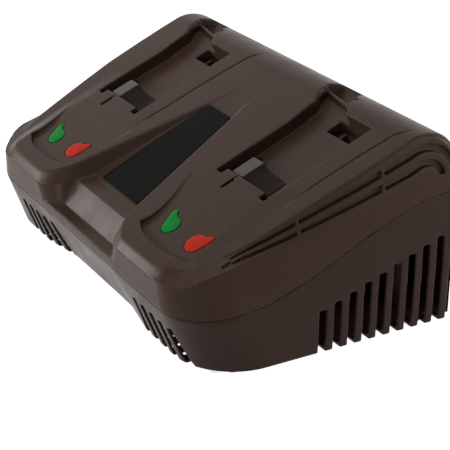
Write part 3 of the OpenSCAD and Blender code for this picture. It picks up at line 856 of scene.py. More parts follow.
@dataclass(frozen=True)
class Finish:
    """A real material and how its surface was made."""

    name: str
    colour: str
    roughness: float
    grain: Grain
    grain_mm: float = 1.0
    bump: float = 0.2
    shade: float = 0.08
    metallic: float = 0.0
    coat: float = 0.0
    ior: float = 1.5
    second: str = ""
    transmission: float = 0.0

    def material(self) -> bpy.types.Material:
        """Builds the material, or finds it if it is there.

        Returns:
            The material.
        """
        found = bpy.data.materials.get(self.name)
        if found:
            return found
        made = bpy.data.materials.new(self.name)
        made.use_nodes = True
        tree = made.node_tree
        tree.nodes.clear()
        shader = add_node(
            tree, "ShaderNodeBsdfPrincipled", None, Metallic=self.metallic, Roughness=self.roughness,
            IOR=self.ior, Coat_Weight=self.coat, Transmission_Weight=self.transmission,
            Base_Color=linear(self.colour),
        )
        add_node(tree, "ShaderNodeOutputMaterial", None, Surface=shader.outputs[0])
        place = add_node(tree, "ShaderNodeTexCoord").outputs["Object"]
        fine = self.pattern(tree, place)
        broad = add_node(tree, "ShaderNodeTexNoise", None, Vector=place, Scale=1 / (MOTTLE_MM * MM), Detail=3.0)
        dull = add_node(
            tree, "ShaderNodeMapRange", None, Value=broad.outputs[0], From_Min=0.3, From_Max=0.7,
            To_Min=max(self.roughness - ROUGHNESS_SPREAD, 0.03),
            To_Max=min(self.roughness + ROUGHNESS_SPREAD, 1),
        )
        tree.links.new(dull.outputs[0], shader.inputs["Roughness"])
        base = [v * (1 - self.shade) for v in linear(self.colour)[:3]]
        high = [v * (1 + self.shade) for v in linear(self.colour)[:3]]
        if self.second:
            high = list(linear(self.second)[:3])
        tint = add_node(
            tree, "ShaderNodeMix", {"data_type": "RGBA"}, _0=fine if self.second else broad.outputs[0],
            _6=(*base, 1.0), _7=(*high, 1.0),
        )
        tree.links.new(tint.outputs[2], shader.inputs["Base Color"])
        if self.bump:
            raised = add_node(
                tree, "ShaderNodeBump", None, Strength=self.bump,
                Distance=RELIEF_SHARE * self.grain_mm * MM, Height=fine,
            )
            tree.links.new(raised.outputs[0], shader.inputs["Normal"])
        return made

    def pattern(self, tree: bpy.types.NodeTree, place: bpy.types.NodeSocket) -> bpy.types.NodeSocket:
        """Adds the nodes that draw the grain.

        Args:
            tree: The material's tree.
            place: Object coordinates.

        Returns:
            The socket that carries the grain, from 0 to 1.
        """
        scale = 1 / (self.grain_mm * MM)
        if self.grain in (Grain.WOUND, Grain.LAYERED):
            bands = {"bands_direction": "Z", "wave_profile": "SIN" if self.grain is Grain.WOUND else "SAW"}
            return add_node(tree, "ShaderNodeTexWave", bands, Vector=place, Scale=scale / 20,
                            Distortion=0.6, Detail=1.0).outputs[1]
        if self.grain is Grain.DRAWN:
            along = add_node(tree, "ShaderNodeMapping", None, Vector=place, Scale=(1.0, 1.0, 0.06))
            return add_node(tree, "ShaderNodeTexNoise", None, Vector=along.outputs[0], Scale=scale,
                            Detail=2.0).outputs[0]
        if self.grain is Grain.BOARD:
            tracks = add_node(tree, "ShaderNodeTexVoronoi", {"distance": "MANHATTAN"}, Vector=place,
                              Scale=scale, Randomness=0.55)
            step = add_node(tree, "ShaderNodeMapRange", None, Value=tracks.outputs[0], From_Min=0.38,
                            From_Max=0.44)
            return step.outputs[0]
        if self.grain is Grain.SINTERED:
            return add_node(tree, "ShaderNodeTexVoronoi", None, Vector=place, Scale=scale).outputs[0]
        detail = 4.0 if self.grain is Grain.RUBBED else 2.0
        return add_node(tree, "ShaderNodeTexNoise", None, Vector=place, Scale=scale, Detail=detail,
                        Roughness=0.55).outputs[0]


# The IOR of the case, label, lenses, block and shutter lies under that of the real material (ABS has
# about 1.54, polyester film 1.65, polycarbonate 1.58, nylon 1.53, acetal 1.48), so that they keep
# their colour in a white room.

# Moulded ABS from a spark-eroded tool: a dull brown with a fine leathery sparkle. The real pits are
# 0.1 mm across; they are drawn 0.9 mm across, the finest that still shows.
CASE_ABS = Finish("abs_spark_eroded_brown", "#47352c", 0.3, Grain.SPARKED, 0.9, 0.12, 0.04, ior=1.18)
# The same resin in the lower shell, a shade darker and duller.
BASE_ABS = Finish("abs_spark_eroded_dark_brown", "#40302a", 0.34, Grain.SPARKED, 0.9, 0.12, 0.04, ior=1.18)
# Polyester film on a plate: nearly black and smooth, with a narrow gloss.
LABEL_FILM = Finish("polyester_film_gloss_black", "#0c0b08", 0.2, Grain.POLISHED, 6, 0.03, 0.05, ior=1.1)
# Polycarbonate, tinted through: saturated, with a soft sheen.
GREEN_LENS = Finish("polycarbonate_moulded_green", "#008a30", 0.4, Grain.POLISHED, 3, 0.05, 0.03, ior=1.16)
RED_LENS = Finish("polycarbonate_moulded_red", "#c9301e", 0.4, Grain.POLISHED, 3, 0.05, 0.03, ior=1.16)
# Acetal with a polished skin: smoother than the case, so that it catches the light.
SHUTTER_POM = Finish("acetal_polished_brown", "#463a33", 0.25, Grain.POLISHED, 4, 0.04, 0.05, ior=1.38)
# Glass-filled nylon: dark and dull, with a fine uneven skin.
BLOCK_NYLON = Finish("glass_filled_nylon_dark", "#261b17", 0.5, Grain.SPARKED, 1.4, 0.1, 0.08, ior=1.16)
# Phosphor bronze, plated: warm yellow metal with stamping lines.
CONTACT_METAL = Finish("phosphor_bronze_plated", "#c9a24b", 0.3, Grain.DRAWN, 0.6, 0.1, 0.1, metallic=1.0)
# Zinc-plated steel: pale grey metal, slightly blue.
SCREW_STEEL = Finish("steel_zinc_plated", "#b4b7bb", 0.35, Grain.DRAWN, 0.5, 0.12, 0.1, metallic=1.0)
# Hard-drawn spring wire: bright steel with lines along the wire.
SPRING_STEEL = Finish("steel_hard_drawn_wire", "#b9bcc0", 0.25, Grain.DRAWN, 0.4, 0.1, 0.1, metallic=1.0)
# Glass-epoxy laminate: green mask over tracks that stand out a little.
BOARD_FR4 = Finish(
    "fr4_laminate_green_mask", "#1f5a35", 0.35, Grain.BOARD, 4.0, 0.5, 0.1, second="#2f7a4a", coat=0.3)
# Manganese-zinc ferrite: charcoal, dull, pressed grains.
FERRITE = Finish("ferrite_sintered", "#2b2b2d", 0.6, Grain.SINTERED, 1.5, 0.3, 0.15)
# Polyester tape round the winding: yellow and glossy, edges of each turn showing.
WINDING_TAPE = Finish("polyester_tape_wound", "#c8a13a", 0.3, Grain.LAYERED, 3.0, 0.3, 0.08)
# Enamelled copper: orange-brown turns with a gloss.
CHOKE_WIRE = Finish("copper_enamelled_wound", "#b2703a", 0.25, Grain.WOUND, 1.2, 0.8, 0.1, metallic=0.7)
# Shrunk PVC sleeve: smooth dark blue.
CAPACITOR_SLEEVE = Finish("pvc_sleeve_shrunk_blue", "#1d2a44", 0.25, Grain.POLISHED, 5, 0.08, 0.06)
# Extruded aluminium: pale metal with die lines.
SINK_ALUMINIUM = Finish("aluminium_extruded", "#b6b9bd", 0.38, Grain.DRAWN, 0.7, 0.2, 0.08, metallic=1.0)
# Epoxy moulding compound: black and matt.
CHIP_EPOXY = Finish("epoxy_moulded_black", "#1b1b1d", 0.55, Grain.SPARKED, 0.7, 0.2, 0.1)
# Soda glass tube with nickel caps, drawn as one pale clear body.
FUSE_GLASS = Finish("soda_glass_tube", "#d8dde0", 0.08, Grain.CLEAR, 4, 0.0, 0.02, transmission=0.6, ior=1.52)
# Tinned brass spring clip.
CLIP_METAL = Finish("brass_tinned", "#c5b27a", 0.35, Grain.DRAWN, 0.6, 0.1, 0.08, metallic=1.0)
# Natural nylon: milky off-white.
SOCKET_NYLON = Finish("nylon_natural", "#ded8c6", 0.45, Grain.POLISHED, 3, 0.1, 0.04)
# Moulded black nylon of the inlet.
INLET_NYLON = Finish("nylon_moulded_black", "#1c1b1b", 0.4, Grain.SPARKED, 0.9, 0.15, 0.08)
# Nickel-plated brass pins.
PIN_NICKEL = Finish("brass_nickel_plated", "#c8cacc", 0.2, Grain.DRAWN, 0.5, 0.08, 0.06, metallic=1.0)
# Nitrile rubber: near black with a grey bloom.
FOOT_RUBBER = Finish("nitrile_rubber_moulded", "#1a1817", 0.7, Grain.RUBBED, 1.2, 0.3, 0.12)
# PVC wire insulation, extruded, in two colours.
RED_PVC = Finish("pvc_extruded_red", "#a3262a", 0.35, Grain.POLISHED, 3, 0.06, 0.05)
BLUE_PVC = Finish("pvc_extruded_blue", "#3b5fa8", 0.35, Grain.POLISHED, 3, 0.06, 0.05)
# Clear epoxy of a lamp.
LED_EPOXY = Finish("epoxy_cast_clear", "#e9e6da", 0.12, Grain.CLEAR, 3, 0.0, 0.02, transmission=0.5)


# --- Building pieces -------------------------------------------------------------------------


def add_object(name: str, data: bpy.types.ID) -> bpy.types.Object:
    """Makes an object and links it to the scene.

    Args:
        name: Name of the object.
        data: Its mesh, lamp or camera.

    Returns:
        The object.
    """
    made = bpy.data.objects.new(name, data)
    bpy.context.scene.collection.objects.link(made)
    return made


def plain_mesh(name: str, points: Array, faces: Array) -> bpy.types.Object:
    """Makes an object from points and four-sided faces.

    Args:
        name: Name of the piece.
        points: Points in millimetres.
        faces: Point numbers, four to a face.

    Returns:
        The object, linked to the scene.
    """
    mesh = bpy.data.meshes.new(name)
    mesh.vertices.add(len(points))
    mesh.vertices.foreach_set("co", (points * MM).astype(np.float32).ravel())
    mesh.loops.add(faces.size)
    mesh.loops.foreach_set("vertex_index", faces.astype(np.int32).ravel())
    mesh.polygons.add(len(faces))
    mesh.polygons.foreach_set("loop_start", np.arange(0, faces.size, 4, dtype=np.int32))
    mesh.update(calc_edges=True)
    mesh.validate()
    mesh.shade_smooth()
    return add_object(name, mesh)


def settle(piece: bpy.types.Object) -> bpy.types.Object:
    """Turns a piece's modifiers into a plain mesh at the origin.

    Args:
        piece: The piece.

    Returns:
        The same object.
    """
    bpy.context.view_layer.update()
    ready = piece.evaluated_get(bpy.context.evaluated_depsgraph_get())
    mesh = bpy.data.meshes.new_from_object(ready)
    piece.modifiers.clear()
    piece.data = mesh
    mesh.transform(piece.matrix_world)
    piece.matrix_world = Matrix.Identity(4)
    return piece


def dress(piece: bpy.types.Object, finish: Finish, body: str, node: str) -> None:
    """Gives a piece its finish, its body and what it stands for, and reports it.

    Args:
        piece: The finished mesh.
        finish: Its finish.
        body: The CAD body that it rides on.
        node: The CAD node that it replaces.
    """
    piece.data.materials.clear()
    piece.data.materials.append(finish.material())
    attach(piece, body)
    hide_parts(node)
    log.info("piece %s: %d faces, %s", piece.name, len(piece.data.polygons), finish.name)


def coat_node(name: str, finish: Finish) -> None:
    """Gives a CAD node that stays in view its finish.

    Args:
        name: The node.
        finish: Its finish.
    """
    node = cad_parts[name]
    node.data.materials.clear()
    node.data.materials.append(finish.material())
    log.info("node %s: %s", name, finish.name)


@dataclass
class Shells:
    """The two halves of the case."""

    form: CaseForm
    bays: list[Bay]
    step: float
    face_limit: int = 95000
    vent_count: int = 10
    vent_pitch: float = 9.02
    vent_w: float = 4.4
    vent_first_y: float = -3.1
    vent_first_top: float = 27.1
    vent_rise: float = 3.25
    front_vent_count: int = 5
    front_vent_half_w: float = 2.4
    front_vent_h: float = 24.0
    front_vent_reach: float = 9.5
    front_vent_pitch: float = 10.0
    front_vent_lean: float = math.radians(16)
    bosses: tuple[tuple[float, float, float], ...] = (
        (-108, -34, 40), (108, -34, 40), (-104, 62, 46), (104, 62, 46))
    posts: tuple[tuple[float, float], ...] = ((-84, -44), (84, -44), (-84, 54), (84, 54))
    feet: tuple[tuple[float, float], ...] = (
        (-117.5, -48.5), (117.5, -48.5), (-117.5, 62), (117.5, 62))
    inlet: tuple[float, float, float, float] = (-58, 24, 24, 16)

    def build(self) -> None:
        """Makes both shells and stands them in for the CAD ones."""
        self.finish_shell("top_shell", self.upper(), CASE_ABS, "upper_shell")
        self.finish_shell("bottom_shell", self.lower(), BASE_ABS, "lower_shell")

    def finish_shell(self, name: str, clay: Clay, finish: Finish, node: str) -> None:
        """Turns clay into a piece.

        Args:
            name: Name of the piece.
            clay: The finished clay.
            finish: Its finish.
            node: The CAD node that it replaces.
        """
        points, faces = clay.surface()
        piece = plain_mesh(name, points, faces)
        if len(faces) > self.face_limit:
            thin = piece.modifiers.new("thin", "DECIMATE")
            thin.ratio = self.face_limit / len(faces)
            settle(piece)
        clay.shade(piece)
        dress(piece, finish, CASE_BODY, node)

    def upper(self) -> Clay:
        """Forms the upper shell, laid out along the sloping top.

        Returns:
            The finished clay.
        """
        clay = Clay(Space.SLOPE, (-133.6, -100, -46), (133.6, 79, 2.4), self.step)
        x, b, c = clay.grids()
        y, z = clay.level(b, c)
        clay.values = self.form.whole(x, y, z).astype(np.float32)
        for bay in self.bays:
            bay.carve(clay)
        solid = clay.values
        clay.values = np.maximum(solid, -(solid + WALL))
        for px, py, pz in self.bosses:
            post = np.maximum(np.hypot(x - px, y - py) - 4.5, pz - z)
            clay.values = round_min(clay.values, np.maximum(post, solid + 1), 0.6)
            hole = np.maximum(np.hypot(x - px, y - py) - 1.4, z - pz - 14)
            clay.values = np.maximum(clay.values, -hole)
        for bay in self.bays:
            bay.add_pins(clay)
            bay.pierce(clay)
        seam = (parting_height(y) - SEAM_LAP - z) * SEAM_SHARE
        clay.values = round_max(clay.values, seam, SEAM_EDGE)
        return clay

    def lower(self) -> Clay:
        """Forms the lower shell, with its vents, posts and openings.

        Returns:
            The finished clay.
        """
        clay = Clay(Space.LEVEL, (-133.6, -84, 1), (133.6, 84, 81), self.step)
        x, y, z = clay.grids()
        solid = self.form.whole(x, y, z).astype(np.float32)
        clay.values = np.maximum(solid, -(solid + WALL))
        for px, py, pz in self.bosses:
            post = np.maximum(np.hypot(x - px, y - py) - 5.2, z - pz)
            clay.values = round_min(clay.values, np.maximum(post, solid + 0.5), 0.6)
            clay.post(clay.cut, px, py, 3.4, -5, pz - 6, 0.3)
            clay.post(clay.cut, px, py, 1.75, -5, 90, 0.2)
        for px, py in self.posts:
            clay.post(clay.add, px, py, 4, 4, 15, 0.8)
            clay.post(clay.cut, px, py, 1.2, 6, 16, 0.2)
        for side in (-1, 1):
            for i in range(self.vent_count):
                middle = self.vent_first_y + self.vent_pitch * i
                top = self.vent_first_top + self.vent_rise * i
                near, far = sorted((side * (HALF_W - 9), side * (HALF_W + 9)))
                half = self.vent_w / 2
                clay.cut_box((near, middle - half, -6), (far, middle + half, top), 0.7, 0.5)
            for i in range(self.front_vent_count):
                self.front_vent(clay, side * (BAY_X + 1) + 14 + self.front_vent_pitch * (i - 2))
        ix, iz, iw, ih = self.inlet
        clay.cut_box((ix - iw / 2, 74, iz - ih / 2), (ix + iw / 2, 90, iz + ih / 2), 0.8, 0.4)
        for px, py in self.feet:
            clay.post(clay.cut, px, py, 6.1, -5, FOOT_H + 1.2, 0.3)
        seam = (z - parting_height(y) - SEAM_LAP) * SEAM_SHARE
        clay.values = round_max(clay.values, seam, SEAM_EDGE)
        return clay

    def front_vent(self, clay: Clay, middle: float) -> None:
        """Cuts one leaning slot under a lobe.

        Args:
            clay: The lower shell.
            middle: Where the slot's axis meets the table.
        """
        cos, sin = math.cos(self.front_vent_lean), math.sin(self.front_vent_lean)

        def slot(a: Array, b: Array, c: Array) -> Array:
            """Distance to the leaning slot.

            Args:
                a: Width coordinate.
                b: Depth coordinate.
                c: Height coordinate.

            Returns:
                Signed distance.
            """
            across = np.abs((a - middle) * cos + c * sin) - self.front_vent_half_w
            along = (c * cos - (a - middle) * sin) - self.front_vent_h
            reach = b - (self.form.base_front + self.front_vent_reach)
            return round_max(round_max(across, along, 0.8), reach, 0.3)

        clay.cut((middle - 11, -90, -5), (middle + 5, -60, 25), slot, 0.5)


# --- Pieces on the case ----------------------------------------------------------------------


def slope_matrix(x: float) -> Matrix:
    """Places a piece that is drawn in a bay's sloping frame, in millimetres, into the scene."""
    return (
        Matrix.Scale(MM, 4)
        @ Matrix.Translation((x, 0, TOP_Z))
        @ Matrix.Rotation(TILT, 4, "X")
    )


def recess_matrix(bay: Bay) -> Matrix:
    """Places a piece that is drawn on a bay's indicator panel into the scene."""
    back = Matrix.Translation((0, bay.recess_back, 0))
    return slope_matrix(bay.x) @ back @ Matrix.Rotation(bay.recess_turn, 4, "X") @ back.inverted()


def sculpt(
    name: str, low: Corner, high: Corner, step: float, form: Form, place: Matrix
) -> bpy.types.Object:
    """Makes a piece from a distance function.

    Args:
        name: Name of the piece.
        low: Lowest corner of its box, in its own frame.
        high: Highest corner of that box.
        step: Distance between samples.
        form: Distance to its form.
        place: Matrix from its own frame in millimetres to the scene.

    Returns:
        The piece, at the origin.
    """
    margin = 1.5 * step
    clay = Clay(Space.LEVEL, tuple(v - margin for v in low), tuple(v + margin for v in high), step)
    clay.values = (form(*clay.grids()) + np.zeros([len(a) for a in clay.axes])).astype(np.float32)
    points, faces = clay.surface()
    piece = plain_mesh(name, points, faces)
    clay.shade(piece)
    piece.data.transform(place @ Matrix.Scale(1 / MM, 4))
    return piece


@dataclass
class BayPieces:
    """The lenses, terminal block, blades, shutter and spring of one bay."""

    side: str
    bay: Bay
    shutter_x: tuple[float, float] = (-17.2, -6.8)
    shutter_y: tuple[float, float] = (-17.4, -1.95)
    shutter_top: float = -1.5
    tongue_x: tuple[float, float] = (-16.4, -6.9)
    tongue_front: float = -34.0
    tongue_top: float = -3.7
    blades: tuple[float, ...] = (-14.7, -12.0, -9.3)
    spring_x: float = -11.7
    spring_z: float = -5.7
    spring_stop: float = -49.4
    spring_r: float = 1.5
    wire_r: float = 0.25
    turns: int = 8
    travel: float = 8.0

    def build(self) -> None:
        """Makes all pieces of the bay."""
        self.lens("green", GREEN_LENS, self.bay.green)
        self.lens("red", RED_LENS, self.bay.red)
        self.block()
        self.shutter()
        self.spring()
        for name, finish in (("contact_blades", CONTACT_METAL), ("led_board", BOARD_FR4),
                             ("leds", LED_EPOXY), ("output_leads", RED_PVC)):
            coat_node(f"{self.side}_{name}", finish)

    def lens(self, colour: str, finish: Finish, lens: Lens) -> None:
        """Makes one domed lens with its collar behind the panel.

        Args:
            colour: Word for its name.
            finish: Its finish.
            lens: Its outline.
        """

        def form(a: Array, b: Array, c: Array) -> Array:
            """Distance to the lens.

            Args:
                a: First coordinate on the panel.
                b: Second coordinate on the panel.
                c: Height over the panel.

            Returns:
                Signed distance.
            """
            outline = lens.form(a, b)
            crown = np.clip(-outline, 0, 3) * 0.12
            plug = round_max(outline, between(c, -2.5, 0.32) - crown * (c > -1), 0.4)
            collar = np.maximum(outline - 1.2, between(c, -3.7, -2.55))
            return np.minimum(plug, collar)

        place = recess_matrix(self.bay) @ Matrix.Translation((*lens.middle, 0))
        piece = sculpt(f"{self.side}_{colour}_window", (-11.5, -8, -4), (9.5, 11, 1), 0.35, form, place)
        dress(piece, finish, CASE_BODY, f"{self.side}_{colour}_lens")

    def block(self) -> None:
        """Makes the terminal block with its ramp, blade slots and screwed flange."""

        def form(a: Array, b: Array, c: Array) -> Array:
            """Distance to the terminal block.

            Args:
                a: First coordinate in the slope's frame.
                b: Second coordinate in the slope's frame.
                c: Third coordinate in the slope's frame.

            Returns:
                Signed distance.
            """
            body = box_form(a, b, c, (-19.3, -17.6, -12.3), (12.1, -3.1, -7.8), 0.4)
            flange = box_form(a, b, c, (-16.2, -24.3, -12.3), (12.1, -16.6, -10.4), 0.4)
            tab = box_form(a, b, c, (-12, -4.1, -12.3), (8, 4, -10.4), 0.4)
            ramp = box_form(a, b, c, (-6.2, -17.6, -8.8), (12, -3.1, -0.9), 0.5)
            hollow = 28.7 - np.hypot(a - 12.2, c - 20.9)
            solid = round_min(body, round_max(ramp, hollow, 0.4), 0.5)
            solid = np.minimum(round_min(solid, flange, 0.4), tab)
            for x in self.blades:
                solid = np.maximum(solid, -box_form(a, b, c, (x - 0.4, -15, -40), (x + 0.4, -4.6, 0), 0.05))
            for x in (0, 9):
                solid = np.maximum(solid, 1.4 - np.hypot(a - x, b + 21.4))
            return solid

        piece = sculpt(f"{self.side}_terminal_carrier", (-20, -25, -13), (13, 5, 0), 0.4, form,
                       slope_matrix(self.bay.x))
        dress(piece, BLOCK_NYLON, CASE_BODY, f"{self.side}_terminal_block")

    def shutter(self) -> None:
        """Makes the sliding terminal cover with its tongue and guide post."""
        (x0, x1), (y0, y1), (t0, t1) = self.shutter_x, self.shutter_y, self.tongue_x

        def form(a: Array, b: Array, c: Array) -> Array:
            """Distance to the shutter.

            Args:
                a: First coordinate in the slope's frame.
                b: Second coordinate in the slope's frame.
                c: Third coordinate in the slope's frame.

            Returns:
                Signed distance.
            """
            cover = box_form(a, b, c, (x0, y0, -7.5), (x1, y1, self.shutter_top), 0.7)
            slant = (b - y1 + c - self.shutter_top + 1.1) * 0.7
            cover = round_max(cover, slant, 0.5)
            tongue = box_form(a, b, c, (t0, self.tongue_front, -7.5), (t1, y0 + 1, self.tongue_top), 0.4)
            post = box_form(a, b, c, (-8.4, -21.3, -5), (-7, -19.9, -0.4), 0.3)
            solid = round_min(np.minimum(cover, tongue), post, 0.2)
            roof = self.shutter_top - 1.2
            hollow = box_form(a, b, c, (x0 + 1.2, y0 + 1, -20), (x1 - 1.2, y1 - 1.5, roof), 0.4)
            solid = np.maximum(solid, -hollow)
            for x in self.blades:
                solid = np.maximum(solid, -box_form(a, b, c, (x - 0.8, -10, -20), (x + 0.8, 5, -3.8), 0.2))
            seat = np.maximum(np.hypot(a - self.spring_x, c - self.spring_z) - 1.9, b - self.tongue_front - 2)
            return np.maximum(solid, -seat)

        piece = sculpt(f"{self.side}_terminal_shutter", (-18, -35, -8), (-6, -1, 0), 0.35, form,
                       slope_matrix(self.bay.x))
        dress(piece, SHUTTER_POM, f"{self.side}_shutter_body", f"{self.side}_shutter")

    def spring(self) -> None:
        """Winds the shutter's spring with Geometry Nodes."""
        length = self.tongue_front + 2 - self.spring_stop
        tree = bpy.data.node_groups.new("wound_spring", "GeometryNodeTree")
        tree.interface.new_socket(name="Geometry", in_out="OUTPUT", socket_type="NodeSocketGeometry")
        sockets = {}
        for name, kind, value in (
            ("Turns", "NodeSocketFloat", float(self.turns)), ("Radius", "NodeSocketFloat", self.spring_r),
            ("Length", "NodeSocketFloat", length - 2 * self.wire_r), ("Wire", "NodeSocketFloat", self.wire_r),
        ):
            socket = tree.interface.new_socket(name=name, in_out="INPUT", socket_type=kind)
            sockets[socket.identifier] = value
        source = tree.nodes.new("NodeGroupInput").outputs
        coil = add_node(tree, "GeometryNodeCurveSpiral", None, Resolution=24, Rotations=source["Turns"],
                        Start_Radius=source["Radius"], End_Radius=source["Radius"], Height=source["Length"])
        section = add_node(tree, "GeometryNodeCurvePrimitiveCircle", None, Resolution=10,
                           Radius=source["Wire"])
        wire = add_node(tree, "GeometryNodeCurveToMesh", None, Curve=coil.outputs[0],
                        Profile_Curve=section.outputs[0], Fill_Caps=True)
        real = add_node(tree, "GeometryNodeRealizeInstances", None, Geometry=wire.outputs[0])
        painted = add_node(tree, "GeometryNodeSetMaterial", None, Geometry=real.outputs[0],
                           Material=SPRING_STEEL.material())
        add_node(tree, "NodeGroupOutput", None, Geometry=painted.outputs[0])
        piece = add_object(f"{self.side}_coil_spring", bpy.data.meshes.new("coil"))
        wound = piece.modifiers.new("wound", "NODES")
        wound.node_group = tree
        for identifier, value in sockets.items():
            wound[identifier] = value
        settle(piece).data.shade_smooth()
        along = Matrix.Translation((self.spring_x, self.spring_stop + self.wire_r, self.spring_z))
        piece.data.transform(slope_matrix(self.bay.x) @ along @ Matrix.Rotation(-math.pi / 2, 4, "X"))
        dress(piece, SPRING_STEEL, CASE_BODY, f"{self.side}_shutter_spring")
        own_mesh(piece)


@dataclass
class LabelPlate:
    """The bare plate on the channel's floor."""

    floor_y: float = -56.5
    floor_z: float = 54.7
    turn: float = math.atan(0.559)
    gap: float = 1.7
    length: float = 74.2
    front_w: float = 45.2
    back_w: float = 27.8
    thickness: float = 0.8

    def build(self) -> None:
        """Makes the plate with its rounded edge."""

        def form(a: Array, b: Array, c: Array) -> Array:
            """Distance to the plate.

            Args:
                a: Coordinate across the plate.
                b: Coordinate along the plate.
                c: Height over the channel's floor.

            Returns:
                Signed distance.
            """
            lean = (self.front_w - self.back_w) / 2 / (self.length - 6)
            side = (np.abs(a) - self.front_w / 2 + lean * (b - 3)) / math.hypot(1, lean)
            flat = round_max(side, between(b, 0, self.length), 3)
            return round_max(flat, between(c, 0, self.thickness), 0.3)

        place = (
            Matrix.Scale(MM, 4) @ Matrix.Translation((0, self.floor_y, self.floor_z))
            @ Matrix.Rotation(self.turn, 4, "X") @ Matrix.Translation((0, self.gap, 0))
        )
        piece = sculpt("bare_label_plate", (-23, -1, 0), (23, 75, 1), 0.4, form, place)
        dress(piece, LABEL_FILM, CASE_BODY, "label_plate")


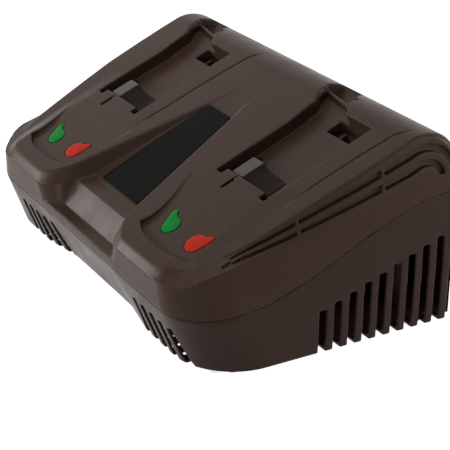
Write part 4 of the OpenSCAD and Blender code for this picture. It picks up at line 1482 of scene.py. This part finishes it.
@dataclass
class Studio:
    """Floor, lights and camera."""

    aim: Vector = field(default_factory=lambda: Vector((0.07844, -0.03107, 0.0605)))
    azimuth: float = math.radians(60.84)
    elevation: float = math.radians(23.94)
    distance: float = 0.7579
    lens: float = 116.5
    floor_half: float = 4.0
    # Half sizes of the box under the object where the floor doesn't glow: painted shade under the case.
    painted_shade_half: tuple[float, float] = (0.108, 0.05)
    floor_glow: float = 0.95
    room_light: float = 0.12
    lamp_distance: float = 1.2
    lamp_aim_z: float = 0.06

    def build(self) -> None:
        """Sets up the studio."""
        self.floor()
        self.world()
        self.lamps()
        self.camera()
        bpy.context.scene.view_settings.view_transform = "Standard"

    def hang(
        self, name: str, data: bpy.types.ID, azimuth: float, elevation: float, centre: Vector,
        distance: float,
    ) -> bpy.types.Object:
        """Adds an object that looks at a point from a given side.

        Args:
            name: Name of the object.
            data: Its lamp or camera.
            azimuth: Angle round the point.
            elevation: Angle over the point.
            centre: The point.
            distance: Distance from the point.

        Returns:
            The object.
        """
        flat = math.cos(elevation)
        back = Vector((math.sin(azimuth) * flat, -math.cos(azimuth) * flat, math.sin(elevation)))
        made = add_object(name, data)
        made.location = centre + back * distance
        made.rotation_mode = "QUATERNION"
        made.rotation_quaternion = (-back).to_track_quat("-Z", "Y")
        return made

    def camera(self) -> None:
        """Places the camera."""
        data = bpy.data.cameras.new("camera")
        data.lens = self.lens
        data.sensor_width = 36
        data.clip_start = 0.01
        bpy.context.scene.camera = self.hang(
            "camera", data, self.azimuth, self.elevation, self.aim, self.distance)

    def seen(self, tree: bpy.types.NodeTree) -> bpy.types.NodeSocket:
        """Adds the nodes that tell the rays that show the white background.

        Args:
            tree: Tree of the floor's material or of the world.

        Returns:
            The socket that is 1 for camera, glossy and transmission rays.
        """
        path = add_node(tree, "ShaderNodeLightPath").outputs
        sharp = add_node(tree, "ShaderNodeMath", {"operation": "MAXIMUM"}, _0=path["Is Camera Ray"],
                         _1=path["Is Glossy Ray"])
        return add_node(tree, "ShaderNodeMath", {"operation": "MAXIMUM"}, _0=sharp.outputs[0],
                        _1=path["Is Transmission Ray"]).outputs[0]

    def floor(self) -> None:
        """Makes the pale floor. Its glow clips the shadow to white; a box under the object without glow paints
        shade there.
        """
        mesh = bpy.data.meshes.new("floor")
        edge = self.floor_half
        corners = [(-edge, -edge, 0), (edge, -edge, 0), (edge, edge, 0), (-edge, edge, 0)]
        mesh.from_pydata(corners, [], [(0, 1, 2, 3)])
        piece = add_object("floor", mesh)
        material = bpy.data.materials.new("paper_matt_white")
        material.use_nodes = True
        tree = material.node_tree
        tree.nodes.clear()
        paper = add_node(tree, "ShaderNodeBsdfDiffuse", None, Color=linear("#cfcbc7"))
        # Painted shade: the glow fades out over a box under the object; there only the lit paper, with its real
        # shadow, shows.
        spot = add_node(tree, "ShaderNodeTexCoord").outputs["Object"]
        place = add_node(tree, "ShaderNodeSeparateXYZ", None, Vector=spot)
        beyond = []
        for axis, half in enumerate(self.painted_shade_half):
            size = add_node(tree, "ShaderNodeMath", {"operation": "ABSOLUTE"}, _0=place.outputs[axis])
            past = add_node(tree, "ShaderNodeMath", {"operation": "SUBTRACT"}, _0=size.outputs[0], _1=half)
            beyond.append(past)
        outside = add_node(tree, "ShaderNodeMath", {"operation": "MAXIMUM"}, _0=beyond[0].outputs[0],
                           _1=beyond[1].outputs[0])
        bright = add_node(tree, "ShaderNodeMapRange", None, Value=outside.outputs[0], From_Min=0.0,
                          From_Max=0.012, To_Min=0.0, To_Max=self.floor_glow)
        glow = add_node(tree, "ShaderNodeEmission", None, Color=(1, 1, 1, 1), Strength=bright.outputs[0])
        both = add_node(tree, "ShaderNodeAddShader", None, _0=paper.outputs[0], _1=glow.outputs[0])
        mixed = add_node(tree, "ShaderNodeMixShader", None, _0=self.seen(tree), _1=paper.outputs[0],
                         _2=both.outputs[0])
        add_node(tree, "ShaderNodeOutputMaterial", None, Surface=mixed.outputs[0])
        mesh.materials.append(material)

    def world(self) -> None:
        """Lights the room evenly, and shows white behind the object and in its gloss."""
        world = bpy.data.worlds.new("studio_air")
        world.use_nodes = True
        tree = world.node_tree
        tree.nodes.clear()
        room = add_node(tree, "ShaderNodeBackground", None, Color=(1, 1, 1, 1), Strength=self.room_light)
        white = add_node(tree, "ShaderNodeBackground", None, Color=(1, 1, 1, 1), Strength=1.0)
        mixed = add_node(tree, "ShaderNodeMixShader", None, _0=self.seen(tree), _1=room.outputs[0],
                         _2=white.outputs[0])
        add_node(tree, "ShaderNodeOutputWorld", None, Surface=mixed.outputs[0])
        bpy.context.scene.world = world

    def lamps(self) -> None:
        """Hangs five soft boxes round the object."""
        for name, azimuth, elevation, width, height, power in (
            ("left_box", -41, 7, 0.8, 0.3, 6.5),
            ("front_box", 22, 7, 0.24, 0.3, 2.0),
            ("overhead_box", -40, 75, 0.8, 0.8, 4.2),
            ("right_box", 119, 7, 0.26, 0.26, 1.8),
            ("back_box", 150, 12, 0.4, 0.3, 4.5),
        ):
            data = bpy.data.lights.new(name, "AREA")
            data.shape = "RECTANGLE"
            data.size = width
            data.size_y = height
            data.energy = power
            self.hang(name, data, math.radians(azimuth), math.radians(elevation),
                      Vector((0, 0, self.lamp_aim_z)), self.lamp_distance)


CARRIED = {
    "main_board": BOARD_FR4, "transformer_core": FERRITE, "transformer_winding": WINDING_TAPE,
    "filter_choke": CHOKE_WIRE, "bulk_capacitor": CAPACITOR_SLEEVE, "output_capacitors": CAPACITOR_SLEEVE,
    "heat_sink": SINK_ALUMINIUM, "power_transistors": CHIP_EPOXY, "fuse": FUSE_GLASS,
    "fuse_clips": CLIP_METAL, "control_chips": CHIP_EPOXY, "lead_sockets": SOCKET_NYLON,
    "mains_inlet": INLET_NYLON, "inlet_pins": PIN_NICKEL, "inlet_leads": BLUE_PVC,
    "rubber_feet": FOOT_RUBBER, "board_screws": SCREW_STEEL, "block_screws": SCREW_STEEL,
    "case_screws": SCREW_STEEL,
}


def main() -> None:
    """Builds every piece."""
    Studio().build()
    bays = [Bay(-BAY_X), Bay(BAY_X)]
    Shells(CaseForm(), bays, step=FINE_STEP).build()
    for side, bay in zip(("left", "right"), bays):
        BayPieces(side, bay).build()
    LabelPlate().build()
    for name, finish in CARRIED.items():
        coat_node(name, finish)


if __name__ == "__main__":
    main()
